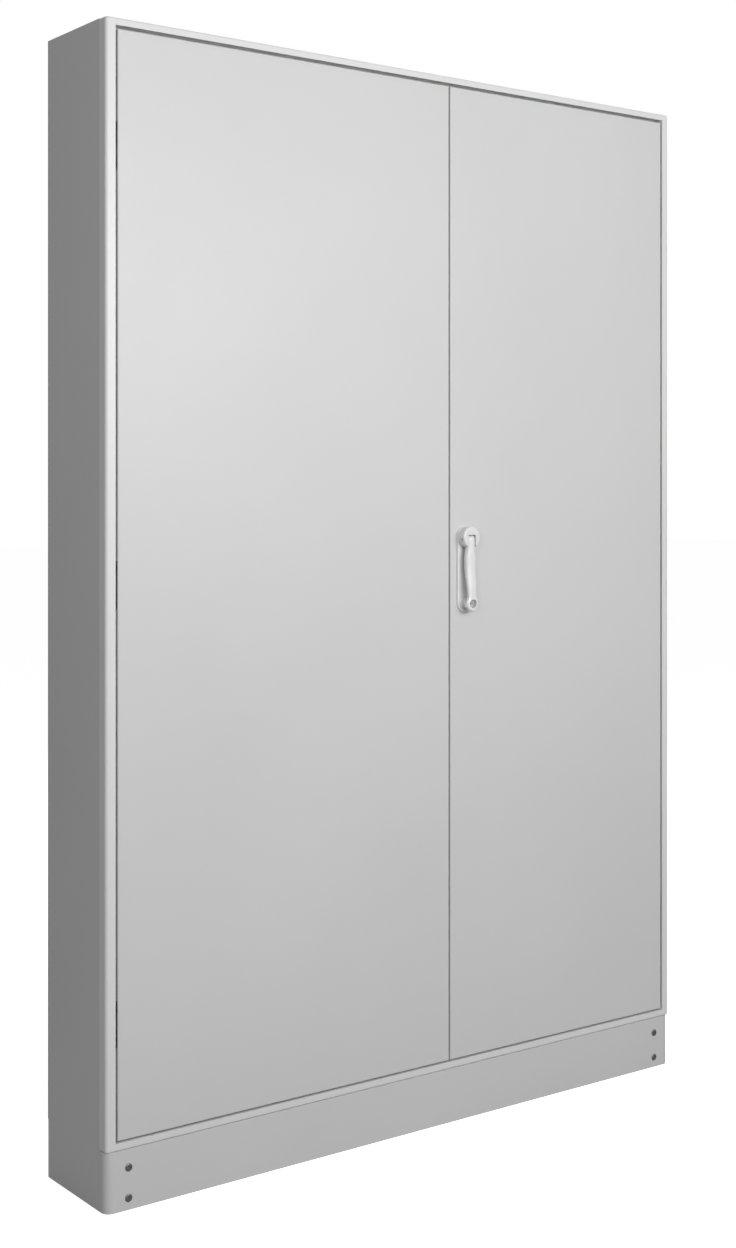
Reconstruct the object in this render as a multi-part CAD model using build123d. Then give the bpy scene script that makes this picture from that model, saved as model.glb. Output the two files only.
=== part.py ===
from build123d import *
import math
import os

# Free-standing switchboard cabinet: sheet-steel body on a plinth, two flush doors of unequal width
# closing on a centre post, a swing handle driving two lock rods, and an open mounting frame inside.
# Millimetres. X runs along the front, Z is up, and the front faces -Y. Every piece is drawn with
# y = 0 on the front face and moved at export, so that the origin is at the middle of the base.

# ---- driving dimensions ----
cabinet_width = 1300.0
cabinet_height = 1950.0
cabinet_depth = 210.0
plinth_height = 100.0
seam_from_left = 720.0

# ---- sheet metal ----
sheet = 1.5
bend_radius = 2.0
corner_radius = 6.0
plinth_corner_radius = 15.0
small_gap = 0.3
screw_head_height = 2.0

# ---- front frame ----
side_strip = 18.0
top_strip = 12.0
bottom_strip = 13.0
frame_edge_radius = 3.0
frame_depth = 22.0
rebate_width = 27.0
flange_width = 38.0
panel_flange_height = 20.0
post_tab = 18.0
post_tab_thickness = 2.0
post_weld = 10.0
post_box_depth = 20.0

# ---- doors ----
door_side_gap = 4.0
door_top_gap = 6.0
door_bottom_gap = 3.0
door_seam_gap = 3.0
door_fold = 15.0
gasket_width = 10.5
gasket_height = 9.5
gasket_round = 2.0
gasket_to_lip = 0.3
gasket_to_fold = 0.3
stiffener_width = 25.0
stiffener_depth = 12.0
stiffener_from_gasket = 25.0
stiffener_slot = 6.0
stiffener_slot_pitch = 50.0
stiffener_from_side = 120.0
stiffener_from_seam = 75.0
earth_stud_from_side = 160.0
earth_stud_above_edge = 90.0
earth_stud_radius = 4.0
earth_stud_length = 22.0
pocket_width = 250.0
pocket_height = 240.0
pocket_depth = 26.0
pocket_wall = 2.0
pocket_above_middle = 36.0

# ---- hinges ----
hinge_inset = 9.0
hinge_depth = 6.5
hinge_pin_radius = 2.5
hinge_running_gap = 0.05
knuckle_radius = 4.8
knuckle_height = 30.0
hinge_block_height = 18.0
hinge_block_gap = 0.5
hinge_foot_height = 60.0
hinge_foot_thickness = 2.0
hinge_notch_height = 78.0
hinge_from_end = 190.0
hinges_per_door = 3

# ---- handle and lock ----
lock_from_seam = 36.5
spindle_height = 1091.0
key_height = 967.0
plate_width = 40.0
plate_margin = 17.0
plate_thickness = 4.0
plate_rim = 4.0
plate_recess = 2.5
hub_radius = 20.0
hub_front = 22.0
hub_floor = 7.0
hub_round = 3.0
lever_pin_radius = 2.5
lever_pin_length = 34.0
lever_pin_out = 15.0
lever_pin_drop = 4.0
lever_root_radius = 7.6
lever_root_width = 18.0
lever_waist_width = 24.0
lever_neck_width = 19.0
lever_eye_radius = 14.0
lever_eye_hole = 8.0
lever_back = 7.4
lever_eye_back = 16.0
lever_eye_front = 26.0
key_boss_radius = 9.5
key_boss_height = 7.0
key_plug_radius = 6.0
key_slot_width = 1.6
key_slot_length = 8.0
square_spindle = 9.0

gear_module = 1.1
gear_teeth = 18
gear_pressure = 20.0
gear_backlash = 0.15
gear_face = 8.0
rod_depth_start = 24.5
rod_thickness = 4.0
rod_end_gap = 2.0
rod_travel_angle = 90.0
rod_chamfer = 1.5
journal_radius = 9.0
rear_journal_radius = 7.0
journal_gap = 0.05
case_half_width = 17.0
case_half_height = 45.0
case_wall = 2.0
rod_slot_gap = 0.4
rod_guide_from_end = 60.0
rod_guide_height = 18.0

# ---- left door bolts ----
bolt_from_seam = 30.0
bolt_radius = 4.0
bolt_length = 95.0
bolt_depth = 28.5
bolt_knob_radius = 3.0
bolt_knob_length = 14.0
bolt_travel = 15.0
bolt_bracket_height = 40.0
bolt_bracket_width = 18.0

# ---- interior ----
upright_width = 30.0
upright_depth = 30.0
upright_sheet = 2.0
upright_front = 157.5
hole_pitch = 25.0
hole_radius = 3.2
rail_width = 35.0
rail_depth = 7.5
rail_sheet = 1.0
rail_base = 27.0
holes_per_rail = 6
first_hole_above_body = 100.0
last_hole_clear = 90.0
left_upright_inset = 65.0
post_clear = 30.0
plate_sheet = 2.0
mounting_plate_above_body = 85.0
mounting_plate_below_top = 65.0
mounting_plate_screw_rows = 4
mounting_plate_flange = 12.0
mounting_plate_overhang = 15.0
earth_bar_above_body = 50.0
earth_bar_width = 20.0
earth_bar_thickness = 5.0
earth_bar_stand_off = 30.0
earth_bar_screw_pitch = 35.0

# ---- cable entries ----
entry_front = 50.0
entry_depth = 95.0
entry_margin = 40.0
gland_lap = 9.0
gland_sheet = 2.0
grommet_radius = 16.0
grommet_flange = 19.0
grommet_pitch = 62.0
grommet_cap = 1.4

# ---- plinth ----
plinth_screw_from_end = 42.0
plinth_screw_low = 20.0
plinth_screw_high = 70.0
plinth_screw_radius = 4.0
plinth_screw_head = 6.5
plinth_socket = 2.6
bracket_length = 62.0
bracket_width = 60.0
bracket_sheet = 3.0
floor_hole_radius = 6.5
floor_hole_inset = 42.0
wall_hole_radius = 5.0
wall_hole_inset = 100.0
rear_screw_radius = 4.5
rear_screw_from_end = 60.0
rear_screw_rows = 8
rear_screw_columns = 5
rear_screw_from_side = 100.0
wall_hole_from_end = 50.0

# ---- worked out from the values above ----
half_width = cabinet_width / 2
body_bottom = plinth_height
body_top = cabinet_height
seam_x = seam_from_left - half_width
rear_sheet_back = cabinet_depth - screw_head_height
rear_sheet_front = rear_sheet_back - sheet
reveal_x = half_width - side_strip
reveal_bottom = body_bottom + bottom_strip
reveal_top = body_top - top_strip
lip_x = reveal_x - rebate_width
lip_bottom = reveal_bottom + rebate_width
lip_top = reveal_top - rebate_width
lip_front = sheet + gasket_height + gasket_to_lip
door_outer_x = reveal_x - door_side_gap
door_bottom = reveal_bottom + door_bottom_gap
door_top = reveal_top - door_top_gap
left_door_edge = seam_x - door_seam_gap / 2
right_door_edge = seam_x + door_seam_gap / 2
post_lip = door_seam_gap / 2 + sheet + gasket_to_fold + gasket_width / 2
hinge_x = door_outer_x - hinge_inset
lock_x = seam_x + lock_from_seam
gear_radius = gear_module * gear_teeth / 2
rod_travel = gear_radius * math.radians(rod_travel_angle)
rack_root = gear_radius + 1.25 * gear_module
rod_offset = rack_root + rod_thickness / 2
rod_depth_end = rod_depth_start + gear_face
case_depth_end = rod_depth_end + 1.0
lever_pin_z = spindle_height - lever_pin_drop
handle_projection = max(lever_eye_front, lever_pin_out + lever_root_radius)
y_middle = (cabinet_depth - handle_projection) / 2
hinge_heights = [
    door_bottom + hinge_from_end
    + i * (door_top - door_bottom - 2 * hinge_from_end) / (hinges_per_door - 1)
    for i in range(hinges_per_door)
]
gasket_middle_x = lip_x - sheet / 2
gasket_low = lip_bottom + sheet / 2
gasket_high = lip_top - sheet / 2
upright_xs = {
    "rail_upright_left": -half_width + left_upright_inset,
    "rail_upright_right": seam_x - post_clear - upright_width,
    "plate_upright_left": seam_x + post_clear + upright_width,
    "plate_upright_right": half_width - left_upright_inset,
}
first_hole_height = body_bottom + first_hole_above_body
hole_rows = int((body_top - last_hole_clear - first_hole_height) // hole_pitch) + 1
hole_heights = [first_hole_height + i * hole_pitch for i in range(hole_rows)]
rail_heights = hole_heights[::holes_per_rail]
mounting_plate_bottom = body_bottom + mounting_plate_above_body
mounting_plate_top = body_top - mounting_plate_below_top
earth_bar_height = body_bottom + earth_bar_above_body
wall_hole_low = body_bottom + wall_hole_from_end
wall_hole_high = body_top - wall_hole_from_end


def block(x0, x1, y0, y1, z0, z1):
    """A box between two corners."""
    return Pos((x0 + x1) / 2, (y0 + y1) / 2, (z0 + z1) / 2) * Box(x1 - x0, y1 - y0, z1 - z0)


def rod_x(radius, x0, x1, y, z):
    """A round bar along X."""
    return Pos((x0 + x1) / 2, y, z) * Rot(0, 90, 0) * Cylinder(radius, x1 - x0)


def rod_y(radius, x, y0, y1, z):
    """A round bar along Y."""
    return Pos(x, (y0 + y1) / 2, z) * Rot(90, 0, 0) * Cylinder(radius, y1 - y0)


def rod_z(radius, x, y, z0, z1):
    """A round bar along Z."""
    return Pos(x, y, (z0 + z1) / 2) * Cylinder(radius, z1 - z0)


def ring(x0, x1, z0, z1, wall, y0, y1):
    """A rectangular ring round the opening x0..x1, z0..z1, with its wall outside the opening."""
    outer = block(x0 - wall, x1 + wall, y0, y1, z0 - wall, z1 + wall)
    return outer - block(x0, x1, y0, y1, z0, z1)


def mirrored(shape):
    """The same piece on the other side of the cabinet."""
    return mirror(shape, Plane.YZ)


def closed(*points):
    """A closed outline through the points, whichever way round they are given."""
    turn = sum(a[0] * b[1] - b[0] * a[1] for a, b in zip(points, points[1:] + points[:1]))
    return Polygon(*(points if turn > 0 else points[::-1]), align=None)


def extrude_z(face, z0, z1):
    """A plan section, drawn in X and Y, extruded from z0 to z1."""
    return extrude(Pos(0, 0, z0) * face, z1 - z0, dir=(0, 0, 1))


def extrude_y(outline, y0, y1):
    """A front outline, drawn in X and Z, extruded from y0 back to y1."""
    face = Plane((0, y0, 0), x_dir=(1, 0, 0), z_dir=(0, -1, 0)) * outline
    return extrude(face, y1 - y0, dir=(0, 1, 0))


def extrude_x(outline, x0, x1):
    """A side outline, drawn in Y and Z, extruded from x0 to x1."""
    face = Plane((x0, 0, 0), x_dir=(0, 1, 0), z_dir=(1, 0, 0)) * outline
    return extrude(face, x1 - x0, dir=(1, 0, 0))


def rounded_tray(x0, x1, z0, z1, depth, side_round, level_round):
    """A tray open at the back: rounded where its front meets the sides, the top and the bottom."""
    outer = block(x0, x1, 0, depth, z0, z1)
    upright_edges = outer.edges().filter_by(Axis.Z).sort_by(Axis.Y)[:2]
    outer = fillet(upright_edges, side_round)
    if level_round:
        level = [e for e in outer.edges().filter_by(Axis.X) if abs(e.center().Y) < 1e-6]
        outer = fillet(level, level_round)
    inner = block(x0 + sheet, x1 - sheet, sheet, depth, z0 + sheet, z1 - sheet)
    inner_edges = inner.edges().filter_by(Axis.Z).sort_by(Axis.Y)[:2]
    return outer - fillet(inner_edges, max(side_round - sheet, 0.5))


# ---- body ----
def front_frame():
    """Folded ring: front strip, reveal, rebate and the raised lip that the gaskets close on."""
    frame = rounded_tray(
        -half_width, half_width, body_bottom, body_top, frame_depth, corner_radius, frame_edge_radius
    )
    frame -= block(-reveal_x, reveal_x, -1, frame_depth, reveal_bottom, reveal_top)
    frame += ring(-reveal_x, reveal_x, reveal_bottom, reveal_top, sheet, 0, frame_depth)
    rebate = block(-reveal_x, reveal_x, frame_depth - sheet, frame_depth, reveal_bottom, reveal_top)
    opening = block(
        -lip_x + sheet, lip_x - sheet, 0, frame_depth, lip_bottom + sheet, lip_top - sheet
    )
    lip = ring(
        -lip_x + sheet, lip_x - sheet, lip_bottom + sheet, lip_top - sheet, sheet, lip_front, frame_depth
    )
    between_post_lips = post_lip - sheet / 2
    for z0, z1 in ((lip_bottom, lip_bottom + sheet), (lip_top - sheet, lip_top)):
        lip -= block(
            seam_x - between_post_lips, seam_x + between_post_lips, lip_front, frame_depth - sheet, z0, z1
        )
    return frame + (rebate - opening) + lip


def side_panel():
    """Left side wall with a front flange against the rebate and a rear flange for the back sheet."""
    with BuildSketch() as section:
        with BuildLine():
            Polyline(
                (-half_width + flange_width, frame_depth),
                (-half_width, frame_depth),
                (-half_width, rear_sheet_front),
                (-half_width + panel_flange_height, rear_sheet_front),
                (-half_width + panel_flange_height, rear_sheet_front - sheet),
                (-half_width + sheet, rear_sheet_front - sheet),
                (-half_width + sheet, frame_depth + sheet),
                (-half_width + flange_width, frame_depth + sheet),
                close=True,
            )
        make_face()
        corners = [v for v in section.vertices() if abs(v.X + half_width) < 1e-6]
        fillet(corners, bend_radius)
    return extrude_z(section.sketch, body_bottom, body_top)


def entry_spans():
    """The X span of each cable entry, one behind each door."""
    return {
        "left": (-lip_x + entry_margin, seam_x - entry_margin),
        "right": (seam_x + entry_margin, lip_x - entry_margin),
    }


def level_panel():
    """Top panel: a pan that fits between the side walls, with two cable entries."""
    inside = half_width - sheet - small_gap
    front_flange = half_width - flange_width - small_gap
    rear_flange = half_width - panel_flange_height - small_gap
    low = body_top - panel_flange_height
    panel = block(
        -inside, inside, frame_depth + sheet, rear_sheet_front - sheet, body_top - sheet, body_top
    )
    panel += block(-front_flange, front_flange, frame_depth, frame_depth + sheet, low, body_top)
    panel += block(-rear_flange, rear_flange, rear_sheet_front - sheet, rear_sheet_front, low, body_top)
    for x0, x1 in entry_spans().values():
        panel -= block(x0, x1, entry_front, entry_front + entry_depth, low, body_top)
    return panel


def flipped(shape):
    """The same piece turned over, from the top of the body to its bottom."""
    return mirror(shape, Plane.XY.offset((body_bottom + body_top) / 2))


def grommet_places(side):
    """The middles of one cable entry's grommets, in two rows."""
    x0, x1 = entry_spans()[side]
    count = int((x1 - x0 - 2 * grommet_flange) // grommet_pitch) + 1
    start = (x0 + x1) / 2 - grommet_pitch * (count - 1) / 2
    rows = [entry_front + entry_depth * share for share in (0.27, 0.73)]
    return [(start + i * grommet_pitch, y) for i in range(count) for y in rows]


def gland_plate(side):
    """Plate that closes a top cable entry from inside, drilled for its grommets."""
    x0, x1 = entry_spans()[side]
    low = body_top - sheet - gland_sheet
    plate = block(
        x0 - gland_lap, x1 + gland_lap, entry_front - gland_lap, entry_front + entry_depth + gland_lap,
        low, low + gland_sheet,
    )
    for x, y in grommet_places(side):
        plate -= rod_z(grommet_radius + journal_gap, x, y, low, low + gland_sheet)
    return plate


def grommets(side):
    """Rubber membrane grommets of a top cable entry, one solid each."""
    low = body_top - sheet - gland_sheet
    made = []
    for x, y in grommet_places(side):
        body = rod_z(grommet_radius, x, y, low - 1, low + gland_sheet)
        cap = rod_z(grommet_flange, x, y, low + gland_sheet, low + gland_sheet + grommet_cap)
        cap = chamfer(cap.edges().group_by(Axis.Z)[-1], grommet_cap / 2)
        made.append(body + cap + rod_z(grommet_flange, x, y, low - 3, low))
    return made


def gland_screws():
    """Pan-head screws that hold the top gland plates, seen inside the cabinet."""
    low = body_top - sheet - gland_sheet
    made = []
    for x0, x1 in entry_spans().values():
        for x in (x0 - gland_lap / 2, x1 + gland_lap / 2):
            for y in (entry_front + entry_depth * share for share in (0.1, 0.5, 0.9)):
                made.append(rod_z(3.5, x, y, low - screw_head_height, low))
    return made


def rear_panel():
    """Back sheet with four holes for fixing the cabinet to a wall."""
    panel = block(-half_width, half_width, rear_sheet_front, rear_sheet_back, body_bottom, body_top)
    for x in (-half_width + wall_hole_inset, half_width - wall_hole_inset):
        for z in (wall_hole_low, wall_hole_high):
            panel -= rod_y(wall_hole_radius, x, rear_sheet_front - 1, rear_sheet_back + 1, z)
    return panel


def rear_screws():
    """Pan-head screws round the back sheet."""
    edge = panel_flange_height / 2
    made = []
    row_pitch = (body_top - body_bottom - 2 * rear_screw_from_end) / (rear_screw_rows - 1)
    for i in range(rear_screw_rows):
        z = body_bottom + rear_screw_from_end + i * row_pitch
        for x in (-half_width + edge, half_width - edge):
            made.append(rod_y(rear_screw_radius, x, rear_sheet_back, cabinet_depth, z))
    column_pitch = (cabinet_width - 2 * rear_screw_from_side) / (rear_screw_columns - 1)
    for i in range(rear_screw_columns):
        x = -half_width + rear_screw_from_side + i * column_pitch
        for z in (body_bottom + edge, body_top - edge):
            made.append(rod_y(rear_screw_radius, x, rear_sheet_back, cabinet_depth, z))
    return [chamfer(s.edges().group_by(Axis.Y)[-1], screw_head_height / 2.5) for s in made]


def centre_post():
    """Post behind the door seam: a box section with two lips for the doors' inner gaskets."""
    left, right = seam_x - post_lip - sheet / 2, seam_x + post_lip + sheet / 2
    low, high = lip_bottom + sheet, lip_top - sheet
    post = block(left, right, lip_front, frame_depth + post_box_depth, low, high)
    post -= block(left + sheet, right - sheet, lip_front, frame_depth - sheet, low, high)
    post -= block(left + sheet, right - sheet, frame_depth, frame_depth + post_box_depth - sheet, low, high)
    tab_back = frame_depth + post_tab_thickness
    post += block(left, right, frame_depth, tab_back, low - post_tab, low + post_weld)
    return post + block(left, right, frame_depth, tab_back, high - post_weld, high + post_tab)


# ---- plinth ----
def plinth_screw_places():
    """X and Z of the plinth's screws, the same on the front and the rear."""
    xs = (-half_width + plinth_screw_from_end, half_width - plinth_screw_from_end)
    return [(x, z) for x in xs for z in (plinth_screw_low, plinth_screw_high)]


def plinth_panel(side_round):
    """Front plinth panel, with the bend at its two corners that is asked for."""
    panel = rounded_tray(-half_width, half_width, 0, plinth_height, frame_depth, side_round, 0)
    for x, z in plinth_screw_places():
        panel -= rod_y(plinth_screw_radius + small_gap, x, -1, sheet + 1, z)
    return panel


def to_rear(shape):
    """The same plinth piece at the back of the cabinet."""
    return Pos(0, rear_sheet_back, 0) * mirror(shape, Plane.XZ)


def plinth_side():
    """Left plinth panel, a channel between the front and the rear panels."""
    y0, y1 = frame_depth + small_gap, rear_sheet_back - frame_depth - small_gap
    channel = block(-half_width, -half_width + frame_depth, y0, y1, 0, plinth_height)
    return channel - block(-half_width + sheet, half_width, y0, y1, sheet, plinth_height - sheet)


def corner_bracket():
    """Left front corner bracket: joins the plinth panels, and takes the floor bolt."""
    x0, y0, z0, z1 = -half_width + sheet, sheet, sheet, plinth_height - sheet
    x1, y1 = x0 + bracket_length, y0 + bracket_width
    bracket = block(x0, x1, y0, y1, z0, z1)
    bracket -= block(
        x0 + bracket_sheet, x1, y0 + bracket_sheet, y1, z0 + bracket_sheet, z1 - bracket_sheet
    )
    corner = bracket.edges().filter_by(Axis.Z).group_by(Axis.X)[0].sort_by(Axis.Y)[0]
    bracket = chamfer(corner, plinth_corner_radius - sheet)
    inside_corner = block(x0, x0 + plinth_corner_radius, y0, y0 + plinth_corner_radius, z0, z1)
    bracket -= inside_corner
    for z in (plinth_screw_low, plinth_screw_high):
        bracket -= rod_y(
            plinth_screw_radius + small_gap, -half_width + plinth_screw_from_end, 0, y0 + 5, z
        )
    bracket -= rod_z(floor_hole_radius, -half_width + floor_hole_inset, floor_hole_inset, 0, 10)
    top_hole = rod_z(
        floor_hole_radius, -half_width + floor_hole_inset, floor_hole_inset, z1 - 10, z1 + 1
    )
    return bracket - top_hole


def corner_brackets():
    """All four corner brackets, one solid each."""
    left = corner_bracket()
    return [left, mirrored(left), to_rear(left), mirrored(to_rear(left))]


def plinth_screws():
    """Socket-head screws through the plinth's front and rear panels into the brackets."""
    made = []
    for x, z in plinth_screw_places():
        head = rod_y(plinth_screw_head, x, -screw_head_height, 0, z)
        head = fillet(head.edges().group_by(Axis.Y)[0], screw_head_height / 2)
        hexagon = extrude_y(Pos(x, z) * RegularPolygon(plinth_socket, 6), -screw_head_height - 1, -0.6)
        screw = head - hexagon + rod_y(plinth_screw_radius, x, 0, sheet + bracket_sheet + 6, z)
        made += [screw, to_rear(screw)]
    return made


# ---- doors ----
def hinge_notches(edge_x):
    """What is cut from a door's hinge-side fold so that the frame's hinge arms can pass."""
    half = hinge_notch_height / 2
    return [
        block(edge_x - 1, edge_x + sheet + 1, bend_radius, door_fold + 1, z - half, z + half)
        for z in hinge_heights
    ]


def door_pan(x0, x1):
    """Door sheet with its four edges folded back."""
    pan = block(x0, x1, 0, door_fold, door_bottom, door_top)
    front = [e for e in pan.edges() if abs(e.center().Y) < 1e-6]
    pan = fillet(front, bend_radius)
    return pan - block(
        x0 + sheet, x1 - sheet, sheet, door_fold, door_bottom + sheet, door_top - sheet
    )


def left_door():
    """The wider door, hinged on the left, with no outside hardware."""
    door = door_pan(-door_outer_x, left_door_edge)
    for notch in hinge_notches(-door_outer_x):
        door -= notch
    return door


def right_door():
    """The narrower door, hinged on the right and bored for the handle."""
    door = mirrored(door_pan(-door_outer_x, -right_door_edge))
    for notch in hinge_notches(-door_outer_x):
        door -= mirrored(notch)
    door -= rod_y(journal_radius + 1, lock_x, -1, sheet + 1, spindle_height)
    return door - rod_y(key_plug_radius + 1, lock_x, -1, sheet + 1, key_height)


def gasket(x0, x1):
    """Foam strip glued round the inside of a door; x0 and x1 are the middles of its upright runs."""
    half = gasket_width / 2
    strip = ring(
        x0 + half, x1 - half, gasket_low + half, gasket_high - half,
        gasket_width, sheet, sheet + gasket_height,
    )
    back = [e for e in strip.edges() if abs(e.center().Y - sheet - gasket_height) < 1e-6]
    return fillet(back, gasket_round)


def stiffener(x):
    """Perforated upright box rail welded inside a door."""
    low, high = gasket_low + stiffener_from_gasket, gasket_high - stiffener_from_gasket
    half, inner = stiffener_width / 2, stiffener_width / 2 - sheet
    rail = block(x - half, x + half, sheet, sheet + stiffener_depth, low, high)
    rail -= block(x - inner, x + inner, sheet, stiffener_depth, low, high)
    count = int((high - low) // stiffener_slot_pitch) - 1
    start = (low + high) / 2 - stiffener_slot_pitch * (count - 1) / 2
    slot = Box(stiffener_slot, 4 * sheet, 2 * stiffener_slot)
    for i in range(count):
        rail -= Pos(x, sheet + stiffener_depth, start + stiffener_slot_pitch * i) * slot
    return rail


def stiffeners(x0, x1):
    """The two stiffeners of one door."""
    return [stiffener(x0), stiffener(x1)]


def earth_stud(x):
    """Welded earth stud with its nut and washer, low on the inside of a door."""
    z = door_bottom + earth_stud_above_edge
    stud = rod_y(earth_stud_radius, x, sheet, sheet + earth_stud_length, z) + rod_y(9, x, sheet, sheet + 3, z)
    return stud + extrude_y(Pos(x, z) * RegularPolygon(7.5, 6), sheet + 3, sheet + 9)


def document_pocket():
    """Plastic document pocket on the inside of the left door, open at the top."""
    x = (-door_outer_x + left_door_edge) / 2
    z = (door_bottom + door_top) / 2 + pocket_above_middle
    half, rise, wall = pocket_width / 2, pocket_height / 2, pocket_wall
    back = sheet + pocket_depth
    pocket = block(x - half, x + half, sheet, back, z - rise, z + rise)
    inner = block(x - half + wall, x + half - wall, sheet + wall, back - wall, z - rise + wall, z + rise + 1)
    thumb_cut = rod_y(pocket_height / 7, x, back - 2 * wall, back + 1, z + rise)
    return pocket - inner - thumb_cut


# ---- hinges ----
def hinge_arm(z):
    """Left-hand hinge leaf: a foot on the rebate, a cranked arm and the middle knuckle."""
    x, y = -hinge_x, hinge_depth
    seat = frame_depth - sheet
    half = knuckle_height / 2
    arm = closed(
        (x - 0.5, y + 3.5), (x + 1.5, y + 10), (x + 1.5, seat), (x + 8, seat), (x + 8, y + 6), (x + 3.5, y),
    )
    leaf = extrude_z(arm, z - half, z + half) + rod_z(knuckle_radius, x, y, z - half, z + half)
    foot = block(
        x - 8, x + 11, seat - hinge_foot_thickness, seat,
        z - hinge_foot_height / 2, z + hinge_foot_height / 2,
    )
    bore = rod_z(hinge_pin_radius + hinge_running_gap, x, y, z - half, z + half)
    return leaf + foot - bore


def hinge_blocks(z):
    """The two door-side blocks of one left-hand hinge, above and below the middle knuckle."""
    x, y = -hinge_x, hinge_depth
    made = []
    for low in (
        z + knuckle_height / 2 + hinge_block_gap,
        z - knuckle_height / 2 - hinge_block_gap - hinge_block_height,
    ):
        high = low + hinge_block_height
        solid = rod_z(knuckle_radius, x, y, low, high) + block(x - 6, x + 5.5, sheet, y, low, high)
        made.append(solid - rod_z(hinge_pin_radius + hinge_running_gap, x, y, low, high))
    return made


def hinge_pin(z):
    """Hinge pin with a small head resting on the upper block."""
    half = knuckle_height / 2 + hinge_block_gap + hinge_block_height
    pin = rod_z(hinge_pin_radius, -hinge_x, hinge_depth, z - half, z + half)
    return pin + rod_z(hinge_pin_radius + 1, -hinge_x, hinge_depth, z + half, z + half + 1.5)


# ---- lock ----
def involute(angle):
    """The involute function, in radians."""
    return math.tan(angle) - angle


def pinion_outline():
    """Closed outline of the pinion, with involute flanks and a tooth pointing along +X."""
    pressure = math.radians(gear_pressure)
    base = gear_radius * math.cos(pressure)
    root = gear_radius - 1.25 * gear_module
    tip = gear_radius + gear_module
    at_pitch = math.pi / (2 * gear_teeth) - gear_backlash / 2 / gear_radius
    radii = [base + (tip - base) * i / 4 for i in range(5)]
    half = [at_pitch + involute(pressure) - involute(math.acos(base / r)) for r in radii]
    flank = [(root, half[0])] + list(zip(radii, half))
    points = []
    for tooth in range(gear_teeth):
        middle = 2 * math.pi * tooth / gear_teeth
        points += [(r, middle - a) for r, a in flank] + [(r, middle + a) for r, a in reversed(flank)]
    return closed(*[(r * math.cos(a), r * math.sin(a)) for r, a in points])


def drive_pinion():
    """Pinion on its journals, with a square hole for the handle's spindle."""
    teeth = extrude_y(
        Pos(lock_x, spindle_height) * pinion_outline(), rod_depth_start, rod_depth_end
    )
    gear = teeth + rod_y(journal_radius - 0.6, lock_x, sheet + 0.2, rod_depth_start, spindle_height)
    gear += rod_y(journal_radius, lock_x, sheet + 0.2, sheet + case_wall + 1, spindle_height)
    gear += rod_y(
        rear_journal_radius, lock_x, rod_depth_end, case_depth_end + case_wall, spindle_height
    )
    hole = square_spindle + 2 * journal_gap
    return gear - (Pos(lock_x, 20, spindle_height) * Box(hole, 60, hole))


def rack(reach_up):
    """Rack teeth on the +X side of a rod at the origin of its travel, as an outline in X and Z."""
    pitch = math.pi * gear_module
    slope = math.tan(math.radians(gear_pressure))
    half = pitch / 4 - gear_backlash / 2
    low, high = (-4, 8) if reach_up else (-8, 4)
    teeth = []
    for k in range(low, high):
        z = (k + 0.5) * pitch
        teeth.append(
            closed(
                (-rack_root - 0.5, z - half - 1.25 * gear_module * slope - 0.5 * slope),
                (-gear_radius + gear_module, z - half + gear_module * slope),
                (-gear_radius + gear_module, z + half - gear_module * slope),
                (-rack_root - 0.5, z + half + 1.25 * gear_module * slope + 0.5 * slope),
            )
        )
    return teeth


def lower_rod():
    """Lower lock rod: a flat bar with a rack on the pinion's left side. It travels down."""
    x0 = lock_x - rack_root - rod_thickness
    low = lip_bottom + sheet + rod_end_gap
    rod = block(x0, x0 + rod_thickness, rod_depth_start, rod_depth_end, low, spindle_height + 40)
    rod = chamfer(rod.edges().group_by(Axis.Z)[0].filter_by(Axis.X), rod_chamfer)
    for tooth in rack(True):
        rod += extrude_y(Pos(lock_x, spindle_height) * tooth, rod_depth_start, rod_depth_end)
    return rod


def upper_rod():
    """Upper lock rod: the same rack on the pinion's right side. It travels up."""
    x1 = lock_x + rack_root + rod_thickness
    high = lip_top - sheet - rod_end_gap
    rod = block(x1 - rod_thickness, x1, rod_depth_start, rod_depth_end, spindle_height - 40, high)
    rod = chamfer(rod.edges().group_by(Axis.Z)[-1].filter_by(Axis.X), rod_chamfer)
    for tooth in rack(False):
        turned = Pos(lock_x, spindle_height) * mirror(tooth, Plane.YZ)
        rod += extrude_y(turned, rod_depth_start, rod_depth_end)
    return rod


def case_tray():
    """Lock case: floor on the door, side walls, and slots for the rods at both ends."""
    x0, x1 = lock_x - case_half_width, lock_x + case_half_width
    z0, z1 = spindle_height - case_half_height, spindle_height + case_half_height
    tray = block(x0, x1, sheet, case_depth_end, z0, z1)
    side = 0.8
    tray -= block(x0 + side, x1 - side, sheet + case_wall, case_depth_end, z0 + case_wall, z1 - case_wall)
    for direction, z_low, z_high in ((1, spindle_height, z1 + 1), (-1, z0 - 1, z1 + 1)):
        middle = lock_x + direction * rod_offset
        tray -= block(
            middle - rod_thickness / 2 - rod_slot_gap, middle + rod_thickness / 2 + 4,
            rod_depth_start - rod_slot_gap, case_depth_end, z_low, z_high,
        )
    for direction in (1, -1):
        middle = lock_x + direction * rod_offset
        tray -= block(
            middle - rod_thickness / 2 - rod_slot_gap, middle + rod_thickness / 2 + rod_slot_gap,
            rod_depth_start - rod_slot_gap, case_depth_end, z0 - 1, z1 + 1,
        )
    bore = rod_y(journal_radius + journal_gap, lock_x, sheet - 1, sheet + case_wall + 1, spindle_height)
    return tray - bore


def case_cover():
    """Cover of the lock case, which carries the pinion's rear journal."""
    x0, x1 = lock_x - case_half_width, lock_x + case_half_width
    z0, z1 = spindle_height - case_half_height, spindle_height + case_half_height
    cover = block(x0, x1, case_depth_end, case_depth_end + case_wall, z0, z1)
    return cover - rod_y(
        rear_journal_radius + journal_gap, lock_x, case_depth_end - 1, case_depth_end + case_wall + 1,
        spindle_height,
    )


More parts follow.
